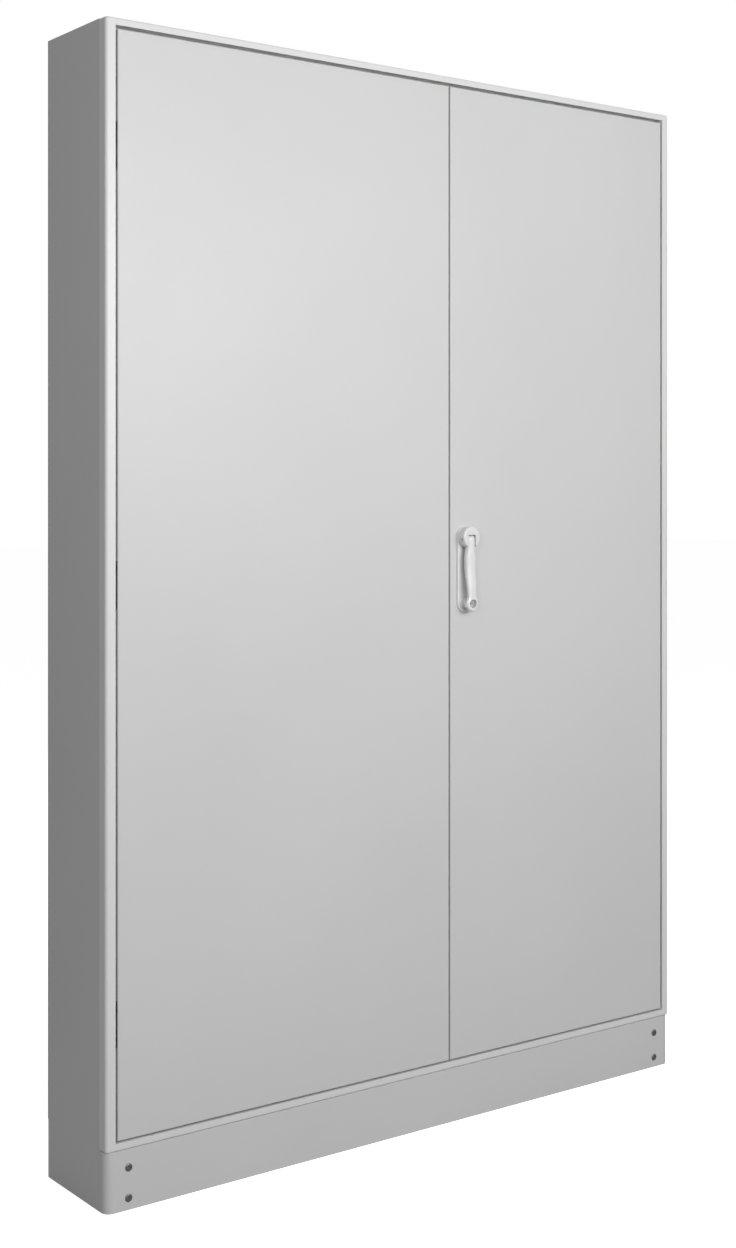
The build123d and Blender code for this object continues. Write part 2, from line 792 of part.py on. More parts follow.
def rod_guides():
    """Plastic guides that hold the lock rods against the door."""
    top, bottom = lip_top - rod_guide_from_end, lip_bottom + rod_guide_from_end
    places = [
        (rod_offset, top), (rod_offset, (top + spindle_height + case_half_height) / 2),
        (-rod_offset, bottom), (-rod_offset, (bottom + spindle_height - case_half_height) / 2),
    ]
    half = rod_guide_height / 2
    made = []
    for offset, z in places:
        x = lock_x + offset
        left = max(x - 8, lock_x - case_half_width)
        guide = block(left, x + 8, sheet, rod_depth_end + 4, z - half, z + half)
        slot = block(
            x - rod_thickness / 2 - rod_slot_gap, x + rod_thickness / 2 + rod_slot_gap,
            rod_depth_start - rod_slot_gap, rod_depth_end + rod_slot_gap, z - half, z + half,
        )
        made.append(guide - slot)
    return made


# ---- handle ----
def handle_plate():
    """Base plate of the handle: a rim round a shallow recess that the lever lies over."""
    low, high = key_height - plate_margin, spindle_height + hub_radius + 1
    outline = Pos(lock_x, (low + high) / 2) * RectangleRounded(plate_width, high - low, plate_width / 2 - 1)
    plate = extrude_y(outline, -plate_thickness, 0)
    plate = fillet(plate.edges().group_by(Axis.Y)[0], 1.2)
    recess_low, recess_high = low + plate_rim, spindle_height - hub_radius + plate_rim
    recess_width = plate_width - 2 * plate_rim
    recess = Pos(lock_x, (recess_low + recess_high) / 2) * RectangleRounded(
        recess_width, recess_high - recess_low, recess_width / 2 - 1
    )
    plate -= extrude_y(recess, -plate_thickness - 1, plate_recess - plate_thickness)
    plate -= rod_y(key_boss_radius + journal_gap, lock_x, -plate_thickness - 1, 1, key_height)
    return plate - rod_y(square_spindle * 0.75, lock_x, -plate_thickness - 1, 1, spindle_height)


def key_housing():
    """Housing of the key cylinder, set through the base plate."""
    front = -plate_thickness - key_boss_height
    housing = rod_y(key_boss_radius, lock_x, front, 0, key_height)
    housing = chamfer(housing.edges().group_by(Axis.Y)[0], journal_gap * 10)
    return housing - rod_y(key_plug_radius + journal_gap, lock_x, front - 1, 1, key_height)


def handle_hub():
    """Turning head of the handle: forked for the lever, with the square spindle behind it."""
    front, back = -hub_front, -plate_thickness - small_gap
    hub = rod_y(hub_radius, lock_x, front, back, spindle_height)
    hub = fillet(hub.edges().group_by(Axis.Y)[0], hub_round)
    half = lever_root_width / 2 + small_gap
    hub -= block(
        lock_x - half, lock_x + half, front - 1, -hub_floor,
        spindle_height - hub_radius - 1, lever_pin_z + lever_root_radius + 0.8,
    )
    hub -= rod_x(
        lever_pin_radius + 0.02, lock_x - hub_radius, lock_x + hub_radius, -lever_pin_out, lever_pin_z
    )
    spindle = Pos(lock_x, (back + case_depth_end) / 2, spindle_height) * Box(
        square_spindle, case_depth_end - back, square_spindle
    )
    return hub + spindle


def lever_pin():
    """Cross pin that the lever tilts on."""
    half = lever_pin_length / 2
    return rod_x(lever_pin_radius, lock_x - half, lock_x + half, -lever_pin_out, lever_pin_z)


def handle_lever():
    """Lever: its side outline and its front outline, each extruded, and what they share."""
    front, back = -lever_pin_out - lever_root_radius, -lever_back
    eye_front, eye_back = -lever_eye_front, -lever_eye_back
    eye_bottom = key_height - lever_eye_radius
    side = Pos(-lever_pin_out, lever_pin_z) * Circle(lever_root_radius) + closed(
        (front, lever_pin_z), (back, lever_pin_z), (back, key_height + 55), (eye_back, key_height + 22),
        (eye_back, eye_bottom), (eye_front + 2.5, eye_bottom), (eye_front, eye_bottom + 4),
        (eye_front, key_height + 18), (front, key_height + 48),
    )
    root, waist, neck = lever_root_width / 2, lever_waist_width / 2, lever_neck_width / 2
    below_hub = spindle_height - hub_radius
    outline = closed(
        (-root, lever_pin_z + lever_root_radius), (-root, below_hub - 1), (-waist, below_hub - 10),
        (-neck, key_height + 22), (-neck, key_height), (neck, key_height), (neck, key_height + 22),
        (waist, below_hub - 10), (root, below_hub - 1), (root, lever_pin_z + lever_root_radius),
    ) + Pos(0, key_height) * Circle(lever_eye_radius)
    lever = extrude_x(side, lock_x - waist - 5, lock_x + waist + 5) & extrude_y(
        Pos(lock_x, 0) * outline, eye_front - 5, 0
    )
    lever -= rod_y(lever_eye_hole, lock_x, eye_front - 1, 0, key_height)
    return lever - rod_x(
        lever_pin_radius + hinge_running_gap, lock_x - waist, lock_x + waist, -lever_pin_out, lever_pin_z
    )


def key_plug():
    """Plug of the key cylinder, with its slot."""
    front = -plate_thickness - key_boss_height
    plug = rod_y(key_plug_radius, lock_x, front, sheet + 6, key_height)
    slot = block(
        lock_x - key_slot_width / 2, lock_x + key_slot_width / 2, front - 1, front + 5,
        key_height - key_slot_length / 2, key_height + key_slot_length / 2,
    )
    return plug - slot


# ---- left door bolts ----
def upper_bolt():
    """Round bolt at the top of the left door, with a thumb knob. It travels up."""
    x = seam_x - bolt_from_seam
    top = lip_top - sheet - rod_end_gap
    bolt = rod_z(bolt_radius, x, bolt_depth, top - bolt_length, top)
    bolt = chamfer(bolt.edges().group_by(Axis.Z)[-1], 1)
    low = top - bolt_length + 8
    return bolt + rod_y(bolt_knob_radius, x, bolt_depth, bolt_depth + bolt_knob_length, low)


def bolt_bracket():
    """Bracket that guides the upper bolt."""
    x = seam_x - bolt_from_seam
    half = bolt_bracket_width / 2
    high = lip_top - sheet - rod_end_gap - bolt_travel
    bracket = block(x - half, x + half, sheet, bolt_depth + 7, high - bolt_bracket_height, high)
    return bracket - rod_z(
        bolt_radius + hinge_running_gap, x, bolt_depth, high - bolt_bracket_height, high
    )


# ---- interior ----
def upright(x):
    """Perforated channel from the bottom panel to the top panel; x is its middle."""
    half = upright_width / 2
    low, high = body_bottom + sheet, body_top - sheet
    front, back = upright_front, upright_front + upright_depth
    channel = block(x - half, x + half, front, back, low, high)
    inner = half - upright_sheet
    channel -= block(x - inner, x + inner, front + upright_sheet, back, low, high)
    for z in hole_heights:
        channel -= rod_y(hole_radius, x, front - 1, front + upright_sheet + 1, z)
    return channel


def mounting_rail(z):
    """Top-hat mounting rail across the left compartment, slotted along its base."""
    x0 = upright_xs["rail_upright_left"] - upright_width / 2
    x1 = upright_xs["rail_upright_right"] + upright_width / 2
    back, front = upright_front, upright_front - rail_depth
    edge, base = rail_width / 2, rail_base / 2
    outline = closed(
        (front, edge), (front, base - rail_sheet), (back - rail_sheet, base - rail_sheet),
        (back - rail_sheet, -base + rail_sheet), (front, -base + rail_sheet), (front, -edge),
        (front + rail_sheet, -edge), (front + rail_sheet, -base), (back, -base), (back, base),
        (front + rail_sheet, base), (front + rail_sheet, edge),
    )
    rail = extrude_x(Pos(0, z) * outline, x0, x1)
    count = int((x1 - x0 - upright_width) // hole_pitch) + 1
    start = x0 + upright_width / 2
    for i in range(count):
        x = start + i * (x1 - x0 - upright_width) / (count - 1)
        slot = extrude_y(Pos(x, z) * SlotOverall(15, 6.3), back - 2 * rail_sheet, back + 1)
        rail -= slot
    return rail


def rail_screws():
    """Screws that hold the mounting rails on their uprights."""
    made = []
    for name in ("rail_upright_left", "rail_upright_right"):
        for z in rail_heights:
            x, seat = upright_xs[name], upright_front - rail_sheet
            head = rod_y(5, x, seat - 3, seat, z)
            made.append(head + rod_y(2.9, x, seat, upright_front + 8, z))
    return made


def mounting_plate():
    """Device plate on the right-hand uprights, with its side edges folded back."""
    x0 = upright_xs["plate_upright_left"] - upright_width / 2 - mounting_plate_overhang
    x1 = upright_xs["plate_upright_right"] + upright_width / 2 + mounting_plate_overhang
    front = upright_front - plate_sheet
    plate = block(x0, x1, front, front + mounting_plate_flange, mounting_plate_bottom, mounting_plate_top)
    plate -= block(
        x0 + plate_sheet, x1 - plate_sheet, upright_front, front + mounting_plate_flange + 1,
        mounting_plate_bottom, mounting_plate_top,
    )
    for name in ("plate_upright_left", "plate_upright_right"):
        for z in plate_screw_heights():
            plate -= rod_y(hole_radius, upright_xs[name], front - 1, upright_front + 1, z)
    return plate


def plate_screw_heights():
    """Heights of the mounting plate's screws, on the uprights' hole pitch."""
    steps = mounting_plate_screw_rows - 1
    return [hole_heights[1 + int((hole_rows - 3) * i / steps)] for i in range(steps + 1)]


def plate_screws():
    """Hexagon-head screws with washers that hold the mounting plate."""
    made = []
    for name in ("plate_upright_left", "plate_upright_right"):
        for z in plate_screw_heights():
            x, seat = upright_xs[name], upright_front - plate_sheet
            screw = rod_y(6.5, x, seat - 1.5, seat, z) + rod_y(2.9, x, seat, upright_front + 8, z)
            made.append(screw + extrude_y(Pos(x, z) * RegularPolygon(5.5, 6), seat - 5.5, seat - 1.5))
    return made


def earth_bar():
    """Copper protective-earth bar along the foot of the right compartment."""
    x0, x1 = upright_xs["plate_upright_left"] - 12, upright_xs["plate_upright_right"] + 12
    front = upright_front - earth_bar_stand_off - earth_bar_thickness
    half = earth_bar_width / 2
    bar = block(x0, x1, front, front + earth_bar_thickness, earth_bar_height - half, earth_bar_height + half)
    for x in earth_screw_places():
        bar -= rod_y(3.1, x, front - 1, front + earth_bar_thickness + 1, earth_bar_height)
    return bar


def earth_screw_places():
    """X of the earth bar's terminal screws."""
    x0, x1 = upright_xs["plate_upright_left"], upright_xs["plate_upright_right"]
    count = int((x1 - x0 - 40) // earth_bar_screw_pitch) + 1
    start = (x0 + x1) / 2 - earth_bar_screw_pitch * (count - 1) / 2
    return [start + i * earth_bar_screw_pitch for i in range(count)]


def earth_screws():
    """Terminal screws with washers on the earth bar."""
    front = upright_front - earth_bar_stand_off - earth_bar_thickness
    made = []
    for x in earth_screw_places():
        screw = rod_y(6, x, front - 1.5, front, earth_bar_height)
        screw += extrude_y(Pos(x, earth_bar_height) * RegularPolygon(5, 6), front - 5.5, front - 1.5)
        made.append(screw + rod_y(3, x, front, front + earth_bar_thickness + 4, earth_bar_height))
    return made


def earth_supports():
    """Insulating supports between the uprights and the earth bar."""
    made = []
    for name in ("plate_upright_left", "plate_upright_right"):
        x = upright_xs[name]
        made.append(
            block(
                x - 10, x + 10, upright_front - earth_bar_stand_off, upright_front,
                earth_bar_height - 14, earth_bar_height + 14,
            )
        )
    return made


# ---- all pieces, by node name ----
def build():
    """Every node's shape, or list of solids, in the drawing frame."""
    top, panel, pocket = level_panel(), side_panel(), document_pocket()
    plinth, channel = plinth_panel(plinth_corner_radius), plinth_side()
    arms = [hinge_arm(z) for z in hinge_heights]
    blocks = [b for z in hinge_heights for b in hinge_blocks(z)]
    pins = [hinge_pin(z) for z in hinge_heights]
    nodes = {
        "front_frame": front_frame(),
        "side_panel_left": panel,
        "side_panel_right": mirrored(panel),
        "top_panel": top,
        "bottom_panel": flipped(top),
        "rear_panel": rear_panel(),
        "rear_panel_screws": rear_screws(),
        "centre_post": centre_post(),
        "gland_screws": gland_screws() + [flipped(s) for s in gland_screws()],
        "plinth_front": plinth,
        "plinth_rear": to_rear(plinth_panel(bend_radius)),
        "plinth_side_left": channel,
        "plinth_side_right": mirrored(channel),
        "plinth_brackets": corner_brackets(),
        "plinth_screws": plinth_screws(),
        "left_door_panel": left_door(),
        "left_door_gasket": gasket(-gasket_middle_x, seam_x - post_lip),
        "left_door_stiffeners": stiffeners(
            -half_width + stiffener_from_side, left_door_edge - stiffener_from_seam
        ),
        "left_door_earth_stud": earth_stud(-half_width + earth_stud_from_side),
        "document_pocket": pocket,
        "left_hinge_arms": arms,
        "left_hinge_blocks": blocks,
        "left_hinge_pins": pins,
        "left_upper_bolt": upper_bolt(),
        "left_lower_bolt": level_flip(upper_bolt()),
        "left_bolt_brackets": [bolt_bracket(), level_flip(bolt_bracket())],
        "right_door_panel": right_door(),
        "right_door_gasket": gasket(seam_x + post_lip, gasket_middle_x),
        "right_door_stiffeners": stiffeners(
            lock_x + stiffener_from_seam - stiffener_width / 2, half_width - stiffener_from_side
        ),
        "right_door_earth_stud": earth_stud(half_width - earth_stud_from_side),
        "right_hinge_arms": [mirrored(s) for s in arms],
        "right_hinge_blocks": [mirrored(s) for s in blocks],
        "right_hinge_pins": [mirrored(s) for s in pins],
        "lock_case": case_tray(),
        "lock_case_cover": case_cover(),
        "drive_pinion": drive_pinion(),
        "upper_lock_rod": upper_rod(),
        "lower_lock_rod": lower_rod(),
        "lock_rod_guides": rod_guides(),
        "handle_base_plate": handle_plate(),
        "key_cylinder_housing": key_housing(),
        "handle_hub": handle_hub(),
        "lever_pin": lever_pin(),
        "handle_lever": handle_lever(),
        "key_plug": key_plug(),
        "mounting_rails": [mounting_rail(z) for z in rail_heights],
        "rail_screws": rail_screws(),
        "mounting_plate": mounting_plate(),
        "mounting_plate_screws": plate_screws(),
        "earth_bar": earth_bar(),
        "earth_bar_screws": earth_screws(),
        "earth_bar_supports": earth_supports(),
    }
    nodes["top_gland_plates"] = [gland_plate(side) for side in entry_spans()]
    nodes["bottom_gland_plates"] = [flipped(plate) for plate in nodes["top_gland_plates"]]
    nodes["top_grommets"] = [g for side in entry_spans() for g in grommets(side)]
    nodes["bottom_grommets"] = [flipped(g) for g in nodes["top_grommets"]]
    for name, x in upright_xs.items():
        nodes[name] = upright(x)
    return nodes


def level_flip(shape):
    """The same piece turned over about the middle of the door opening."""
    return mirror(shape, Plane.XY.offset((lip_bottom + lip_top) / 2))


def write(name, shape):
    """Moves a node from the drawing frame to the part's own frame and writes its STEP file."""
    solids = shape if isinstance(shape, list) else [shape]
    placed = [Pos(0, -y_middle, 0) * s for s in solids]
    export_step(placed[0] if len(placed) == 1 else Compound(children=placed), f"parts/{name}.step")


if __name__ == "__main__":
    os.makedirs("parts", exist_ok=True)
    for node, shape in build().items():
        write(node, shape)
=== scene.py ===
"""Looks of a floor-standing switchboard cabinet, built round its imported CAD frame.

The cabinet is powder-coated sheet steel: a body on a plinth, two flush doors of unequal width, a swing
handle with a rod lock, and an open mounting frame inside. All lengths are in metres, +Z is up, and the
doors face -Y.
"""

import logging
import math
from collections.abc import Callable, Iterable
from dataclasses import dataclass, field
from enum import Enum

import bpy
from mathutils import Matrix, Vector


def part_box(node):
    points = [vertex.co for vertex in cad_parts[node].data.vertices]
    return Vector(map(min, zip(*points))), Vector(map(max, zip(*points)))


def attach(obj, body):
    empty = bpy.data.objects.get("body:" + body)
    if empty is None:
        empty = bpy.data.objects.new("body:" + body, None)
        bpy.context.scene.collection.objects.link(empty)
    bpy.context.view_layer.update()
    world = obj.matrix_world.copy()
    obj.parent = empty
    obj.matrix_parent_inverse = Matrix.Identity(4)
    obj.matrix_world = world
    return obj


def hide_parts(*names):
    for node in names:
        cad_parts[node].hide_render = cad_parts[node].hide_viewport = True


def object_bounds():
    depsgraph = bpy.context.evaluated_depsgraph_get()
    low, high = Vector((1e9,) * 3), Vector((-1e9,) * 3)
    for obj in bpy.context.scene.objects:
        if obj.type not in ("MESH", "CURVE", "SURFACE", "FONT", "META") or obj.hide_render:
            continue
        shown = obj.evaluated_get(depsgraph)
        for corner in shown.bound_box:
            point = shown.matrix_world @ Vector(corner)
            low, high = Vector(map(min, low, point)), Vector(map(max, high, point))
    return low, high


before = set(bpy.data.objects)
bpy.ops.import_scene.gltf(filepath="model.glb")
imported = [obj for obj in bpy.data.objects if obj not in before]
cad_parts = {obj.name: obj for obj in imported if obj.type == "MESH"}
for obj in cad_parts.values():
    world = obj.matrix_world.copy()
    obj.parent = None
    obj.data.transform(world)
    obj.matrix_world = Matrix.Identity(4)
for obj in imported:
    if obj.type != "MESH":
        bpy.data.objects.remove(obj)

CAD_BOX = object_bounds()
LOG = logging.getLogger("cabinet")
MM = 0.001
Colour = tuple[float, float, float]
Triple = tuple[float, float, float]
Span = tuple[float, float]
WELD_REACH = 1e-6
FLAT_WITHIN = 1.0
FORWARD = Vector((0, -1, 0))
BACKWARD = Vector((0, 1, 0))


# ---------------------------------------------------------------- shader trees


class ShaderTree:
    """Builds one procedural material, whose patterns are measured in metres on the object."""

    def __init__(self, name: str) -> None:
        """Starts a material with a single Principled shader.

        Args:
            name: The material's name.
        """
        self.material = bpy.data.materials.new(f"finish_{name}")
        self.material.use_nodes = True
        self.nodes = self.material.node_tree.nodes
        self.links = self.material.node_tree.links
        self.shader = self.nodes["Principled BSDF"]
        self.place = self.nodes.new("ShaderNodeTexCoord").outputs["Object"]

    def set(self, **values: float | Colour) -> None:
        """Sets constant values on the shader's own sockets.

        Args:
            **values: Socket names with underscores for spaces, and their values.
        """
        for name, value in values.items():
            socket = self.shader.inputs[name.replace("_", " ")]
            socket.default_value = (*value, 1.0) if isinstance(value, tuple) else value

    def noise(self, size: float, detail: float = 2.0, stretch: Triple = (1, 1, 1)) -> bpy.types.NodeSocket:
        """A noise pattern.

        Args:
            size: The size of one feature.
            detail: Octaves of finer noise.
            stretch: How many times longer a feature is along X, Y and Z.

        Returns:
            The pattern's value, from 0 to 1.
        """
        mapping = self.nodes.new("ShaderNodeMapping")
        mapping.inputs["Scale"].default_value = [1 / (size * s) for s in stretch]
        self.links.new(self.place, mapping.inputs["Vector"])
        texture = self.nodes.new("ShaderNodeTexNoise")
        texture.inputs["Scale"].default_value = 1.0
        texture.inputs["Detail"].default_value = detail
        self.links.new(mapping.outputs["Vector"], texture.inputs["Vector"])
        return texture.outputs["Fac"]

    def cells(self, size: float, feature: str = "F1") -> bpy.types.ShaderNodeTexVoronoi:
        """A cell pattern.

        Args:
            size: The size of one cell.
            feature: What the pattern's distance is measured to.

        Returns:
            The texture node, with its Distance and Color outputs.
        """
        texture = self.nodes.new("ShaderNodeTexVoronoi")
        texture.feature = feature
        texture.inputs["Scale"].default_value = 1 / size
        self.links.new(self.place, texture.inputs["Vector"])
        return texture

    def span(self, value: bpy.types.NodeSocket, low: float, high: float,
             start: float = 0.25, end: float = 0.75) -> bpy.types.NodeSocket:
        """Maps a pattern from start..end to low..high.

        Args:
            value: The pattern.
            low: What start becomes.
            high: What end becomes.
            start: The pattern's low value.
            end: The pattern's high value.

        Returns:
            The mapped value.
        """
        node = self.nodes.new("ShaderNodeMapRange")
        for name, number in (("From Min", start), ("From Max", end), ("To Min", low), ("To Max", high)):
            node.inputs[name].default_value = number
        self.links.new(value, node.inputs["Value"])
        return node.outputs["Result"]

    def tint(self, value: bpy.types.NodeSocket, first: Colour, second: Colour) -> None:
        """Mixes the base colour between two colours.

        Args:
            value: The pattern, 0 for the first colour and 1 for the second.
            first: One linear colour.
            second: The other linear colour.
        """
        ramp = self.nodes.new("ShaderNodeValToRGB")
        ramp.color_ramp.elements[0].color = (*first, 1)
        ramp.color_ramp.elements[1].color = (*second, 1)
        self.links.new(value, ramp.inputs["Fac"])
        self.links.new(ramp.outputs["Color"], self.shader.inputs["Base Color"])

    def roughen(self, value: bpy.types.NodeSocket) -> None:
        """Drives the shader's roughness by a mapped pattern."""
        self.links.new(value, self.shader.inputs["Roughness"])

    def relief(self, layers: Iterable[tuple[bpy.types.NodeSocket, float]]) -> None:
        """Raises the surface by patterns, one on another.

        Args:
            layers: Each pattern with its height.
        """
        normal = None
        for value, height in layers:
            bump = self.nodes.new("ShaderNodeBump")
            bump.inputs["Strength"].default_value = 1.0
            bump.inputs["Distance"].default_value = height
            self.links.new(value, bump.inputs["Height"])
            if normal is not None:
                self.links.new(normal, bump.inputs["Normal"])
            normal = bump.outputs["Normal"]
        self.links.new(normal, self.shader.inputs["Normal"])


def shade(colour: Colour, factor: float) -> Colour:
    """A colour made lighter or darker by a factor."""
    return tuple(min(1.0, part * factor) for part in colour)


def shades(colour: Colour, tones: Span) -> tuple[Colour, Colour]:
    """A colour's darkest and lightest shade, from its lowest and highest factor."""
    return shade(colour, tones[0]), shade(colour, tones[1])


@dataclass(frozen=True)
class PowderCoat:
    """Baked powder paint on sheet steel: a fine orange peel over a faintly cloudy colour."""

    name: str
    colour: Colour = (0.56, 0.563, 0.56)
    roughness: float = 0.42
    peel: float = 1.8 * MM
    peel_height: float = 0.11 * MM
    grain: float = 0.35 * MM
    grain_share: float = 0.3
    cloud: float = 0.35
    tones: Span = (0.975, 1.02)
    haze: float = 6 * MM
    spread: Span = (0.04, 0.06)
    slot: str = "powder_coat"

    def build(self) -> bpy.types.Material:
        """Builds the material.

        Returns:
            The new material.
        """
        tree = ShaderTree(self.name)
        tree.tint(tree.span(tree.noise(self.cloud, 3), 0, 1), *shades(self.colour, self.tones))
        haze = tree.noise(self.haze, 4)
        tree.roughen(tree.span(haze, self.roughness - self.spread[0], self.roughness + self.spread[1]))
        tree.relief([
            (tree.noise(self.peel, 2), self.peel_height),
            (tree.noise(self.grain, 1), self.peel_height * self.grain_share),
        ])
        return tree.material


@dataclass(frozen=True)
class Galvanised:
    """Hot-dip galvanised sheet with its crystal spangle."""

    name: str = "galvanised_sheet"
    colour: Colour = (0.4, 0.412, 0.415)
    tones: Span = (0.82, 1.15)
    spangle: float = 9 * MM
    frosting: float = 1.2 * MM
    relief: float = 0.01 * MM
    roughness: Span = (0.46, 0.64)
    metallic: float = 0.6
    slot: str = "galvanised_sheet"

    def build(self) -> bpy.types.Material:
        """Builds the material.

        Returns:
            The new material.
        """
        tree = ShaderTree(self.name)
        crystals = tree.cells(self.spangle)
        tone = tree.nodes.new("ShaderNodeSeparateColor")
        tree.links.new(crystals.outputs["Color"], tone.inputs["Color"])
        tree.tint(tone.outputs["Red"], *shades(self.colour, self.tones))
        tree.roughen(tree.span(tone.outputs["Green"], *self.roughness, 0, 1))
        tree.relief([(tone.outputs["Blue"], self.relief), (tree.noise(self.frosting, 3), self.relief)])
        tree.set(Metallic=self.metallic)
        return tree.material


@dataclass(frozen=True)
class PlatedSteel:
    """Zinc-plated steel with fine drawing lines along one axis."""

    name: str
    colour: Colour = (0.62, 0.62, 0.6)
    tones: Span = (0.86, 1.08)
    lines: Triple = (1, 1, 30)
    line_width: float = 0.5 * MM
    line_depth: float = 0.008 * MM
    stain: float = 12 * MM
    roughness: float = 0.46
    spread: Span = (0.07, 0.1)
    metallic: float = 0.92
    slot: str = "zinc_steel"

    def build(self) -> bpy.types.Material:
        """Builds the material.

        Returns:
            The new material.
        """
        tree = ShaderTree(self.name)
        drawn = tree.noise(self.line_width, 3, self.lines)
        tree.tint(tree.span(drawn, 0, 1), *shades(self.colour, self.tones))
        stain = tree.noise(self.stain, 4)
        tree.roughen(tree.span(stain, self.roughness - self.spread[0], self.roughness + self.spread[1]))
        tree.relief([(drawn, self.line_depth)])
        tree.set(Metallic=self.metallic)
        return tree.material


@dataclass(frozen=True)
class DrawnCopper:
    """A drawn copper bar, slightly dulled by handling."""

    name: str = "drawn_copper"
    colour: Colour = (0.82, 0.43, 0.28)
    tones: Span = (0.86, 1.0)
    dulling: float = 18 * MM
    lines: Triple = (60, 1, 1)
    line_width: float = 0.4 * MM
    line_depth: float = 0.006 * MM
    roughness: Span = (0.24, 0.4)
    metallic: float = 0.95
    slot: str = "copper"

    def build(self) -> bpy.types.Material:
        """Builds the material.

        Returns:
            The new material.
        """
        tree = ShaderTree(self.name)
        tree.tint(tree.span(tree.noise(self.dulling, 4), 0, 1), *shades(self.colour, self.tones))
        drawn = tree.noise(self.line_width, 2, self.lines)
        tree.roughen(tree.span(drawn, *self.roughness))
        tree.relief([(drawn, self.line_depth)])
        tree.set(Metallic=self.metallic)
        return tree.material


@dataclass(frozen=True)
class FoamRubber:
    """Closed-cell sealing foam with a skin of small pores."""

    name: str = "foam_seal"
    colour: Colour = (0.028, 0.028, 0.03)
    tones: Span = (0.6, 1.5)
    pore: float = 0.8 * MM
    pore_depth: float = 0.12 * MM
    pore_rim: Span = (0.1, 0.7)
    swell: float = 6 * MM
    swell_height: float = 0.1 * MM
    wear: float = 4 * MM
    roughness: Span = (0.75, 0.9)
    slot: str = "foam_seal"

    def build(self) -> bpy.types.Material:
        """Builds the material.

        Returns:
            The new material.
        """
        tree = ShaderTree(self.name)
        pores = tree.cells(self.pore).outputs["Distance"]
        tree.tint(tree.span(pores, 0, 1, *self.pore_rim), *shades(self.colour, self.tones))
        tree.roughen(tree.span(tree.noise(self.wear, 2), *self.roughness))
        tree.relief([(pores, self.pore_depth), (tree.noise(self.swell, 2), self.swell_height)])
        tree.set(Sheen_Weight=0.15, Sheen_Roughness=0.5)
        return tree.material


@dataclass(frozen=True)
class Moulded:
    """Moulded plastic or rubber with a spark-eroded grain."""

    name: str
    colour: Colour
    slot: str
    tones: Span = (0.9, 1.1)
    flow: float = 25 * MM
    grain: float = 0.6 * MM
    grain_depth: float = 0.03 * MM
    roughness: float = 0.5
    spread: Span = (0.06, 0.08)
    specular: float = 0.5

    def build(self) -> bpy.types.Material:
        """Builds the material.

        Returns:
            The new material.
        """
        tree = ShaderTree(self.name)
        tree.tint(tree.span(tree.noise(self.flow, 3), 0, 1), *shades(self.colour, self.tones))
        grain = tree.noise(self.grain, 2)
        tree.roughen(tree.span(grain, self.roughness - self.spread[0], self.roughness + self.spread[1]))
        tree.relief([(grain, self.grain_depth)])
        tree.set(Specular_IOR_Level=self.specular)
        return tree.material


@dataclass(frozen=True)
class CastEnamel:
    """Enamelled zinc casting: smooth, with a faint pull of the mould and a soft gloss."""

    name: str = "handle_enamel"
    colour: Colour = (0.7, 0.702, 0.7)
    tones: Span = (0.97, 1.03)
    flow: float = 30 * MM
    haze: float = 5 * MM
    roughness: Span = (0.28, 0.4)
    pull: float = 2.2 * MM
    pull_height: float = 0.02 * MM
    slot: str = "handle_coat"

    def build(self) -> bpy.types.Material:
        """Builds the material.

        Returns:
            The new material.
        """
        tree = ShaderTree(self.name)
        tree.tint(tree.span(tree.noise(self.flow, 2), 0, 1), *shades(self.colour, self.tones))
        tree.roughen(tree.span(tree.noise(self.haze, 3), *self.roughness))
        tree.relief([(tree.noise(self.pull, 2), self.pull_height)])
        tree.set(Coat_Weight=0.4, Coat_Roughness=0.16, Specular_IOR_Level=0.6)
        return tree.material


class Finish(Enum):
    """Every finish on the cabinet."""

    BODY = PowderCoat("body_coat")
    # Lighter than the doors and the body: a painted highlight for the frame's rounded front edge, though the
    # real frame has the same paint.
    FRAME = PowderCoat("frame_coat_painted_highlight", colour=(0.655, 0.658, 0.655), roughness=0.36)
    DOOR = PowderCoat("door_coat", colour=(0.57, 0.573, 0.57))
    PLINTH = PowderCoat("plinth_coat", colour=(0.565, 0.568, 0.565), slot="plinth_coat")
    HANDLE = CastEnamel()
    GALVANISED = Galvanised()
    UPRIGHT_STEEL = PlatedSteel("upright_steel")
    CROSS_STEEL = PlatedSteel("cross_steel", colour=(0.5, 0.485, 0.4), lines=(30, 1, 1), roughness=0.42)
    FASTENER = PlatedSteel("fastener_steel", colour=(0.24, 0.24, 0.25), lines=(1, 1, 1), slot="fasteners")
    # Plated steel for the key plug: the metal is real, but its near-black colour is painted shade that
    # darkens the hole in the lever's eye.
    LOCK = PlatedSteel("lock_steel_painted_shade", colour=(0.07, 0.07, 0.073), lines=(1, 20, 1), slot="lock_plug")
    COPPER = DrawnCopper()
    FOAM = FoamRubber()
    GROMMET = Moulded("grommet_rubber", (0.2, 0.205, 0.21), "grommet_rubber", roughness=0.62)
    PLASTIC = Moulded("black_plastic", (0.035, 0.035, 0.038), "black_plastic", roughness=0.45)
    POCKET = Moulded("pocket_plastic", (0.42, 0.425, 0.42), "black_plastic", roughness=0.5)

    @property
    def material(self) -> bpy.types.Material:
        """The finish's material, built the first time it is asked for."""
        return bpy.data.materials.get(f"finish_{self.value.name}") or self.value.build()


# ---------------------------------------------------------------- mesh tools


